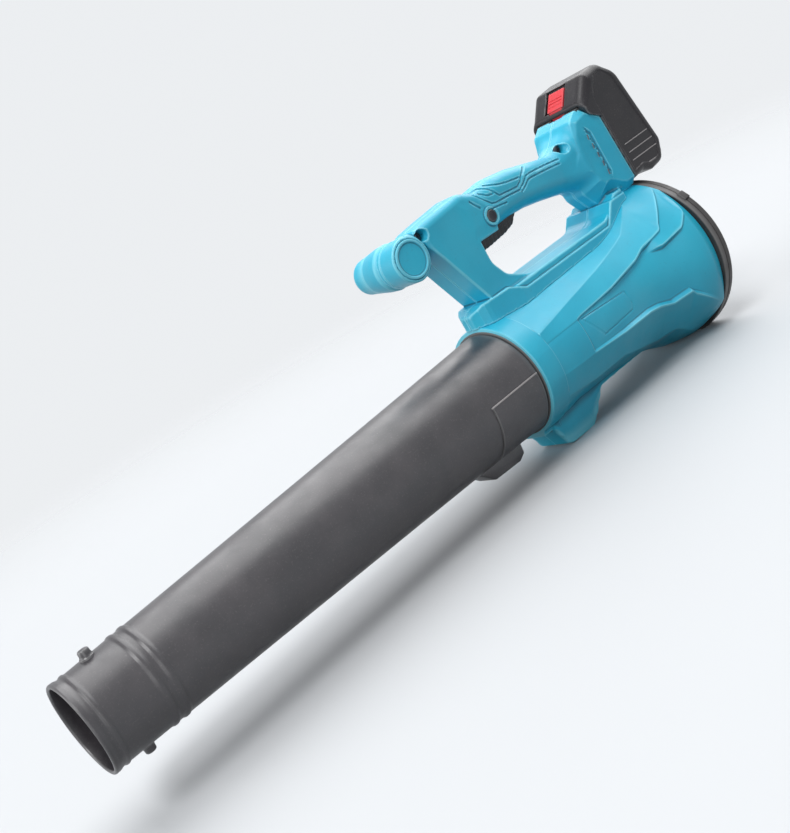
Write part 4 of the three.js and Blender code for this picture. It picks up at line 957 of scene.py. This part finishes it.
# ---- side grip
def sideGripPieces():
    # barrel, end cap and disc cap are turned on one cross axis; the barrel narrows towards its rounded end
    at = (sideGrip["x"], 0, sideGrip["z"])
    outer, cap, split, reach = (sideGrip[key] for key in ("outer", "cap", "split", "reach"))
    y = np.linspace(-9, split + 0.6, 16)
    skin = np.stack((y, np.interp(-y, (9, 18, 31), (20.9, 20.2, 18.3))), 1)
    barrel = np.concatenate(([(-5.3, 4.3), (-5.3, 17.6), (-5.6, 18.6), (-6.5, 19.8), (-7.6, 20.5)], skin,
                             [(split + 0.3, 17.6), (split + 0.3, 0), (split + 5, 0), (split + 5, 4.3)]))
    turn = np.linspace(0, math.pi / 2, 20)
    dome = np.stack((9 - reach - 9 * np.sin(turn), 7 + 9.5 * np.cos(turn)), 1)
    end = np.concatenate(([(split, 0), (split, 17.4), (split - 0.4, 18.0), (split - 2, 18.0)], dome,
                          [(-reach, 0)]))
    face = outer + 0.3
    steps = ((0, cap), (1.6, cap), (1.6, 4.2), (1.6, 3.2), (1.8, 2.8), (2.4, 2.4), (2.6, 2.0), (2.6, 1.2),
             (2.3, 0.4), (1.7, 0), (0.5, 0), (0, 0.5))
    disc = [(face + rise, cap - inset) for rise, inset in steps]
    # the disc cap takes the brighter copy of the teal: painted light
    for name, profile, finish, node in (("sideGripBarrel", barrel, "teal", "side_grip"),
                                        ("sideGripEnd", end, "teal", "side_grip_end"),
                                        ("sideGripCap", disc, "tealCapPaintedLight", "side_grip_cap")):
        makePiece(name, lathe(profile, 120, at, (0, 1, 0)), finish, "housing", node)


sideGripPieces()


# ---- trigger, lock button, screws
def triggerField(x, y, z):
    # a lever with a hollowed finger face, rounded edges and a bore for its pin
    lever = plate(polygonDistance(rounded(trigger["outline"]), x, z), np.abs(y), trigger["halfWidth"], 1.8)
    ribs = 0.35 * np.clip(np.cos((x + 0.3 * z) * 2 * math.pi / 5.5), 0, 1) * (z < 121)
    return np.maximum(lever + ribs, 2.3 - awayFrom(trigger["pivot"], x, z))


makePiece("trigger", fieldSurface(triggerField, (-109, -8, 104), (-42, 8, 136), 0.55),
          "black", "trigger", "trigger")

spring = {"x": -56, "low": 130.7, "high": 142.2, "radius": 3.2, "wire": 0.45, "turns": 4}


def triggerSpring():
    # a helix of round wire, from the trigger's back up to the housing
    t = np.linspace(0, 1, 25 * spring["turns"])
    turn = 2 * math.pi * spring["turns"] * t
    around = np.linspace(0, 2 * math.pi, 8, endpoint=False)
    reach = spring["radius"] + spring["wire"] * np.cos(around)
    rise = spring["low"] + (spring["high"] - spring["low"]) * t
    height = rise[:, None] + spring["wire"] * np.sin(around)
    turn = turn[:, None]
    return loft(np.stack((spring["x"] + reach * np.cos(turn), reach * np.sin(turn), height), -1))


springPiece = makePiece("triggerSpring", triggerSpring(), "steel", "housing", "trigger_spring")
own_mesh(springPiece)

lockProfile = [(10.5, 0), (10.5, 3), (13.5, 3), (13.5, 5.8), (20.9, 5.8), (21.5, 5.4), (21.8, 4.8),
               (21.5, 4.0), (21.1, 3.0), (20.95, 1.5), (20.9, 0)]
makePiece("lockButton", lathe(lockProfile, 64, (lockPlace[0], 0, lockPlace[1]), (0, 1, 0)), "lock",
          "lock_button", "lock_button")


def screwShape(length, radius):
    # a pan head with a cross recess on a threaded shank, head's underside at zero, the shank pointing down
    def field(x, y, z):
        away = np.hypot(x, y)
        head = softMax(softMax(away - radius, np.hypot(away, z + 5.2) - 7.9, 0.5), -z, 0.3)
        arms = [np.maximum(np.abs(x) - a, np.abs(y) - b) for a, b in ((0.55, 2.0), (2.0, 0.55))]
        recess = np.maximum(np.minimum(*arms), 1.0 - z)
        thread = 0.25 * np.sin(np.arctan2(y, x) + z * 2 * math.pi / 1.5)
        shank = greatest(away - 1.6 - 0.6 * thread, z - 0.5, -length - z + away * 0.6)
        return np.minimum(without(head, recess), shank)
    reach = radius + 0.4
    return fieldSurface(field, (-reach, -reach, -length - 0.2), (reach, reach, 3), 0.33)


def placeScrews(piece, node, shape, places, side):
    # the front and rear screw of a casing, turned so that their heads face out on one side of it
    spin = np.array(Matrix.Rotation(math.radians(-90 * side), 3, "X"))
    points, faces, normals = shape
    for k, (end, (x, z, *_)) in enumerate(zip(("Front", "Rear"), places), 1):
        placed = points @ spin.T + (x, 9.3 * side, z)
        makePiece(piece + end, (placed, faces, normals @ spin.T), "darkSteel", "housing", f"{node}_{k}")


placeScrews("handleScrew", "handle_screw", screwShape(20, 4), handleScrews, 1)
placeScrews("bodyScrew", "body_screw", screwShape(16, 4), bodyScrews, -1)


# ---- battery
battery = {"halfWidth": 37, "edge": 5.5, "wall": 2.6, "brow": (-12.8, 54), "crest": (10, 73.5),
           "side": [(-33, -40), (16, -40, 4), (30, -46.5, 8), (49, -46.5, 11), (60.3, -28, 10),
                    (51.4, 52, 16), (38, 73, 13), (10, 73.5, 5), (-33, 37)]}


def slopePlace(u, w):
    # distance up the sloping head face and height over it
    (u0, w0), (u1, w1) = battery["brow"], battery["crest"]
    run = math.hypot(u1 - u0, w1 - w0)
    du, dw = (u1 - u0) / run, (w1 - w0) / run
    return (u - u0) * du + (w - w0) * dw, -(u - u0) * dw + (w - w0) * du


def batteryField(x, y, z):
    # the case: a slab with a rounded edge, sunk side panels, a head that overhangs the seat, a latch pocket
    # and room for the cells inside
    u, w = seatPlace(x, z)
    side = np.abs(y)
    edge = battery["edge"] + 6 * ease((w - 40) / 16) * ease((w - u - 8) / 22)
    case = plate(polygonDistance(batteryOutline, u, w), side, battery["halfWidth"], edge)
    sunk = case + 1.1 * ease(-polygonDistance(batteryPanel, u, w) / 1.5) * (side > 30)
    under = np.minimum(50 - w, np.maximum(0.2 - shoulder(u, side, w), 27.8 - side))
    seatSide = np.minimum(-u, softMax(under, battery["brow"][0] - u, 2))
    whole = softMax(sunk, seatSide, 1.5)
    s, h = slopePlace(u, w)
    aroundLatch = np.maximum(side - 14, -8 - h)
    room = np.minimum(without(battery["wall"] - u, aroundLatch), np.maximum(-2 - u, w - 47.4))
    room = np.maximum(case + battery["wall"], room)
    mouth = box(u, side, w, (-3, -1, -37.4), (4, 32, 46.4))
    depth = np.where(s > 22.6, 2.3, 5.4)
    pocket = greatest(np.abs(s - 16.05) - 12.45, np.abs(y + 1.9) - 13.3, np.abs(h) - depth)
    tongue = box(u, side, w, (-11.2, -1, 45), (-3.6, 9.4, 62))
    return without(whole, room, mouth, pocket, tongue)


batteryOutline = rounded(battery["side"])
batteryPanel = rounded([(2.5, -34), (18, -34, 6), (30, -40, 8), (46, -40, 8), (53, -26, 7), (43.5, 53, 13),
                        (33, 66.5, 12), (21, 66.5, 7), (9, 57, 8), (2.5, 46, 12)])
makePiece("batteryCase", fieldSurface(batteryField, (-304, -37, 78), (-222, 37, 206),
                                      1.2), "battery", "battery", "battery_case")


def ribLine(start, end, lift=0.55):
    # a fine raised line on the battery's side, from one point (x, z) to another
    def place(u, v, h):
        spot = np.array(start) + (np.array(end) - start) * u[..., None]
        across = np.array((end[1] - start[1], start[0] - end[0])) / math.dist(start, end)
        spot = spot + across * v[..., None]
        return np.stack((spot[..., 0], battery["halfWidth"] - 1.1 + h, spot[..., 1]), -1)
    return raisedPatch(place, (0, 1), (-0.42, 0.42), lift, 0.1, (12, 4), 0.5)


ribEnds = [((-249, 122), (-289, 122.6)), ((-250, 113), (-291, 113.6)), ((-250, 104.5), (-292, 105)),
           ((-259, 94), (-289, 93.6)), ((-289, 93.6), (-294.2, 96.4)), ((-294.2, 96.4), (-295.6, 101.5))]
nearRibs = joined(*[ribLine(*ends) for ends in ribEnds])
# the ribs take the pale grey finish: a painted glint along them
makePiece("batterySideLines", joined(nearRibs, mirrored(nearRibs)), "rib", "battery")


def latchField(x, y, z):
    # a sliding button with three grip grooves, its tongue and its hook
    u, w = seatPlace(x, z)
    s, h = slopePlace(u, w)
    side = np.abs(y)
    thick = np.where(s > 16, 1.45, 2.95)
    button = softMax(np.abs(s - 14.2) - 10.2, side - 10.6, 0.8)
    button = softMax(button, np.abs(h + thick - 0.9) - thick, 0.6)
    groove = np.clip(np.abs(np.mod(s - 8.7 + 1.75, 3.5) - 1.75) - 0.65, -1, 1)
    button = without(button, greatest(groove, np.abs(s - 12.2) - 5.2, side - 9.2, 0.2 - h))
    tongue = box(u, side, w, (-10.6, -1, 40), (-7.2, 8.6, 56))
    hook = box(u, side, w, (-17.4, -1, 40), (-8, 8.6, 43.5))
    return np.minimum(button, np.minimum(tongue, hook))


makePiece("batteryLatch", fieldSurface(latchField, (-242, -11, 164), (-212, 11, 206),
                                       0.5), "latch", "latch", "battery_latch")


# ---- intake guard, duct, fan
guard = {"face": bodyLength + 0.3, "depth": 18, "rim": 87.2, "inner": 75.5, "spigot": 78, "spokes": 28,
         "hoops": (24, 34, 44.5, 56, 66)}


def intakeGuard():
    # a rounded rim, hoops, radial spokes and a middle boss, cut level underneath
    face, back = -guard["face"], -guard["face"] - guard["depth"] + 0.3
    rim, inner, spigot = guard["rim"], guard["inner"], guard["spigot"]
    turn = np.linspace(0, math.pi / 2, 8)
    edge = np.stack((back + 7 - 7 * np.sin(turn), rim - 7 + 7 * np.cos(turn)), 1)
    profile = np.concatenate(([(face, spigot), (face, rim - 0.8), (face - 0.8, rim), (face - 6, rim),
                               (face - 6.4, rim - 0.5), (face - 7.2, rim - 0.5), (face - 7.6, rim)], edge,
                              [(back, inner + 1), (back + 1, inner), (face + 5, inner),
                               (face + 5, spigot)]))
    angle = np.linspace(0, 2 * math.pi, 12, endpoint=False)
    oval = np.stack((np.cos(angle), np.sin(angle)), 1)
    parts = [lathe(profile, 192)]
    parts += [lathe(oval * (1.9, 1.15) + (back + 3, radius), 128) for radius in guard["hoops"]]
    boss = [(7.5, 0), (7.5, 14), (3.4, 14), (2.2, 12.8), (1.8, 9), (2.4, 8.2), (2.2, 0)]
    parts.append(lathe([(back + x, radius) for x, radius in boss], 64))
    section = oval * (2.5, 1.1)
    radii = np.linspace(12, guard["inner"] + 1, 12)
    spoke = loft([np.stack((back + 4.6 + 0.7 * math.cos(r / 25) + section[:, 0], section[:, 1],
                            np.full(12, r)), 1) for r in radii])
    parts += [turned(spoke, 10 + 360 * k / guard["spokes"]) for k in range(guard["spokes"])]
    tab = sideSlab([(back + 4, rim - 3), (back + 4, rim + 1.2, 1), (back + 6, rim + 1.6, 1),
                    (back + 13, rim + 1.6, 1), (back + 13, rim - 3)], 5, 0.8)
    parts += [turned(tab, angle) for angle in (-52, 52)]
    points, faces = joined(*parts)
    points[:, 2] = np.maximum(points[:, 2], -body["bottom"])
    return points, faces


makePiece("intakeGuard", intakeGuard(), "guard", "housing", "intake_guard")

duct = {"bore": 51.5, "outlet": 46.6, "front": 34, "straight": (100, 190), "lipRadius": 72, "lipReach": 47,
        "wall": 2, "pod": 24, "podFront": 92, "podRear": 158, "vanes": 7}


def ductInner(back):
    # straight bore that narrows to the outlet and opens to a bell mouth behind
    rise = ease((back - duct["front"]) / (duct["straight"][0] - duct["front"]))
    lip = np.clip((back - duct["straight"][1]) / duct["lipReach"], 0, 1)
    flare = (duct["lipRadius"] - duct["bore"]) * (1 - np.sqrt(1 - lip * lip))
    return duct["outlet"] + (duct["bore"] - duct["outlet"]) * rise + flare


def bladeShape(sections, middle, thickness, camber, hand, steps=14, levels=9):
    # a bowed thin section lofted outwards: chord, pitch and radius run smoothly between the given sections
    radii, pitches, chords = np.array(sections, float).T
    radius = np.linspace(radii[0], radii[-1], levels)[:, None]
    slope = np.radians(np.interp(radius, radii, pitches))
    chord = np.interp(radius, radii, chords)
    t = (1 - np.cos(np.linspace(0, math.pi, steps))) / 2
    t = np.concatenate((t, t[-2:0:-1]))[None]
    upper = np.where(np.arange(t.shape[1]) < steps, 1, -1)[None]
    thick = upper * thickness * np.sin(np.pi * t) ** 0.6 * (0.5 + 0.5 * (1 - t)) / 2
    away = (t - 0.5) * chord
    across = camber * chord * (1 - (2 * t - 1) ** 2) + thick
    x = away * np.sin(slope) - across * np.cos(slope)
    y = away * np.cos(slope) + across * np.sin(slope)
    return loft(np.stack((middle + x, hand * y, np.sqrt(np.maximum(radius * radius - y * y, 1))), -1))


def fanDuct():
    # the turned duct with its bell mouth, the motor pod in its middle and the vanes between them
    back = np.concatenate((np.linspace(34, 100, 20), np.linspace(110, 190, 8),
                           190 + 47 * np.sin(np.linspace(0.1, 1.4, 14))))
    inside = np.stack((-back, ductInner(back)), 1)
    outside = np.stack((-back, ductInner(back) + duct["wall"]), 1)[::-1]
    shell = lathe(np.concatenate((inside, outside)), 128)
    pod, front, rear = duct["pod"], -duct["podFront"], -duct["podRear"]
    podShape = lathe([(rear, pod - 2.1), (front - 2.5, pod - 2.1), (front - 2.5, 6), (front, 6),
                      (front, pod - 0.6), (front - 0.6, pod), (rear, pod)], 64)
    vane = bladeShape([(pod - 1, 68, 38), (duct["bore"] + 1, 64, 42)], -131, 2, 0.12, -1)
    return joined(shell, podShape, *[turned(vane, 360 * k / duct["vanes"]) for k in range(duct["vanes"])])


makePiece("fanDuct", fanDuct(), "black", "housing", "fan_duct")


def tailCone():
    # a thin shell that closes the pod in a long point towards the mouth
    turn = np.linspace(0, 1, 26)
    cone = lambda radius, reach: np.stack((-91.7 + reach * turn,
                                           radius * np.cos(math.pi / 2 * turn ** 1.15)), 1)
    return lathe(np.concatenate((cone(24, 54), cone(22, 50)[::-1])), 96)


makePiece("tailCone", tailCone(), "black", "housing", "tail_cone")

fan = {"hub": 22, "rear": 192, "front": 164, "blades": 9, "thickness": 2.4, "tip": 50.3}


def impeller():
    # a hub with a hollow front and nine bowed blades clipped to the swept circle
    hub, rear, front = fan["hub"], -fan["rear"], -fan["front"]
    hubShape = lathe([(rear, 3.3), (front - 10, 3.3), (front - 10, 8), (rear + 3, 8), (rear + 3, hub - 3),
                      (front, hub - 2.4), (front, hub - 0.5), (front - 0.5, hub), (rear + 0.6, hub),
                      (rear, hub - 0.6)], 72)
    blade = bladeShape([(hub - 1.5, 52, 32), (36, 39, 35), (fan["tip"], 29, 38)], -178, fan["thickness"],
                       0.07, 1)
    return joined(hubShape, *[turned(blade, 360 * k / fan["blades"]) for k in range(fan["blades"])])


makePiece("impeller", impeller(), "fan", "rotor", "impeller")


def spinnerCap():
    # a thin dome over the fan's hub
    turn = np.linspace(0, math.pi / 2, 18)
    dome = lambda radius, length: np.stack((-192.3 - length * np.sin(turn), radius * np.cos(turn)), 1)
    return lathe(np.concatenate((dome(22, 24), dome(20.2, 22.2)[::-1])), 96)


makePiece("spinnerCap", spinnerCap(), "black", "rotor", "spinner_cap")


# ---- carried-over CAD nodes get their finishes
carried = {"steel": ("impeller_nut", "motor_shaft", "motor_can", "motor_end_plate", "motor_bearing_front",
                     "motor_bearing_rear", "trigger_pin", "side_grip_bolt",
                     *(f"saddle_screw_{k}" for k in range(1, 5))), "lamination": ("motor_rotor",),
           "copper": ("motor_stator", *(f"terminal_blade_{k}" for k in range(1, 4))),
           "black": ("switch_module", "terminal_block", "battery_rail_cover"),
           "board": ("controller_board", "battery_board"), "aluminium": ("controller_heatsink",),
           "sleeve": ("battery_cells",)}
for finish, names in carried.items():
    for name in names:
        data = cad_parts[name].data
        data.materials.clear()
        data.materials.append(finishes[finish])


# ---- floor, light and background
studio = {"floorRadius": 3.4, "fade": (0.8, 2.0), "backdrop": linear(0.925, 0.935, 0.945),
          "floorTone": linear(0.80, 0.81, 0.82), "floorBounce": linear(0.38, 0.39, 0.40),
          "worldStrength": 0.21, "key": {"toward": (0.45, 0.3, 0.84), "strength": 1.35, "spread": 24},
          "front": {"toward": (0.86, -0.36, 0.32), "strength": 1.25, "spread": 50},
          "back": {"toward": (-0.5, -0.2, 0.84), "strength": 2.9, "spread": 72},
          "fill": {"toward": (0.5, 0.85, 0.15), "strength": 0.55, "spread": 40}}


def seenDirectly(tree):
    # 1 for rays from the camera and for mirrored or refracted ones, 0 for light between surfaces
    path = tree.nodes.new("ShaderNodeLightPath")
    camera, glossy, through = (Wire(tree, path.outputs[name]) for name in
                               ("Is Camera Ray", "Is Glossy Ray", "Is Transmission Ray"))
    return camera.maths("MAXIMUM", camera, glossy.maths("MAXIMUM", glossy, through))


def blend(tree, share, first, second, target):
    # a mix of two shaders that goes to the tree's output
    mixed = tree.nodes.new("ShaderNodeMixShader")
    for k, socket in enumerate((share.socket, first.outputs[0], second.outputs[0])):
        tree.links.new(socket, mixed.inputs[k])
    tree.links.new(mixed.outputs[0], next(n for n in tree.nodes if n.type == target).inputs[0])


def addFloor():
    # a round floor on which the shadow falls; further out it gives way to the backdrop
    turn = np.linspace(0, 2 * math.pi, 96, endpoint=False)
    rings = (0.5, 1.0, 2.0, studio["floorRadius"])
    points = np.concatenate([np.stack((r * np.cos(turn), r * np.sin(turn), 0 * turn), 1) for r in rings])
    mesh = bpy.data.meshes.new("floor")
    bands = gridFaces(len(rings), len(turn), False, True)[:, ::-1].tolist()
    mesh.from_pydata(points.tolist(), [], [list(range(len(turn)))] + bands)
    finish = Finish("paleFloor", {"Roughness": 0.85, "Specular IOR Level": 0.1})
    seen = seenDirectly(finish.tree)
    finish.paint("Base Color", finish.mix(seen, studio["floorBounce"], studio["floorTone"]))
    away = finish.place.node("ShaderNodeVectorMath", {"operation": "LENGTH"}, {0: finish.place}, 1)
    clear = finish.tree.nodes.new("ShaderNodeBsdfTransparent")
    blend(finish.tree, away.ramp(*studio["fade"]), finish.shader, clear, "OUTPUT_MATERIAL")
    mesh.materials.append(finish.material)
    floor = bpy.data.objects.new("floor", mesh)
    bpy.context.scene.collection.objects.link(floor)


def addLight(name):
    # a wide, distant soft light that comes from one direction
    lamp = studio[name]
    light = bpy.data.lights.new(name, "SUN")
    light.energy, light.angle = lamp["strength"], math.radians(lamp["spread"])
    holder = bpy.data.objects.new(name, light)
    toward = Vector(lamp["toward"])
    holder.matrix_world = Matrix.Translation(toward) @ toward.to_track_quat("Z", "Y").to_matrix().to_4x4()
    bpy.context.scene.collection.objects.link(holder)


def addWorld():
    # even grey light on the object; the camera and mirror rays see the pale backdrop
    world = bpy.data.worlds.new("studio")
    world.use_nodes = True
    tree = world.node_tree
    lit = next(n for n in tree.nodes if n.type == "BACKGROUND")
    lit.inputs[0].default_value = linear(0.97, 0.98, 1.0)
    lit.inputs[1].default_value = studio["worldStrength"]
    seen = tree.nodes.new("ShaderNodeBackground")
    seen.inputs[0].default_value = studio["backdrop"]
    seen.inputs[1].default_value = 1.0
    blend(tree, seenDirectly(tree), lit, seen, "OUTPUT_WORLD")
    bpy.context.scene.world = world


addFloor()
for name in ("key", "front", "back", "fill"):
    addLight(name)
addWorld()
bpy.context.scene.view_settings.view_transform = "Standard"
print("studio lit")
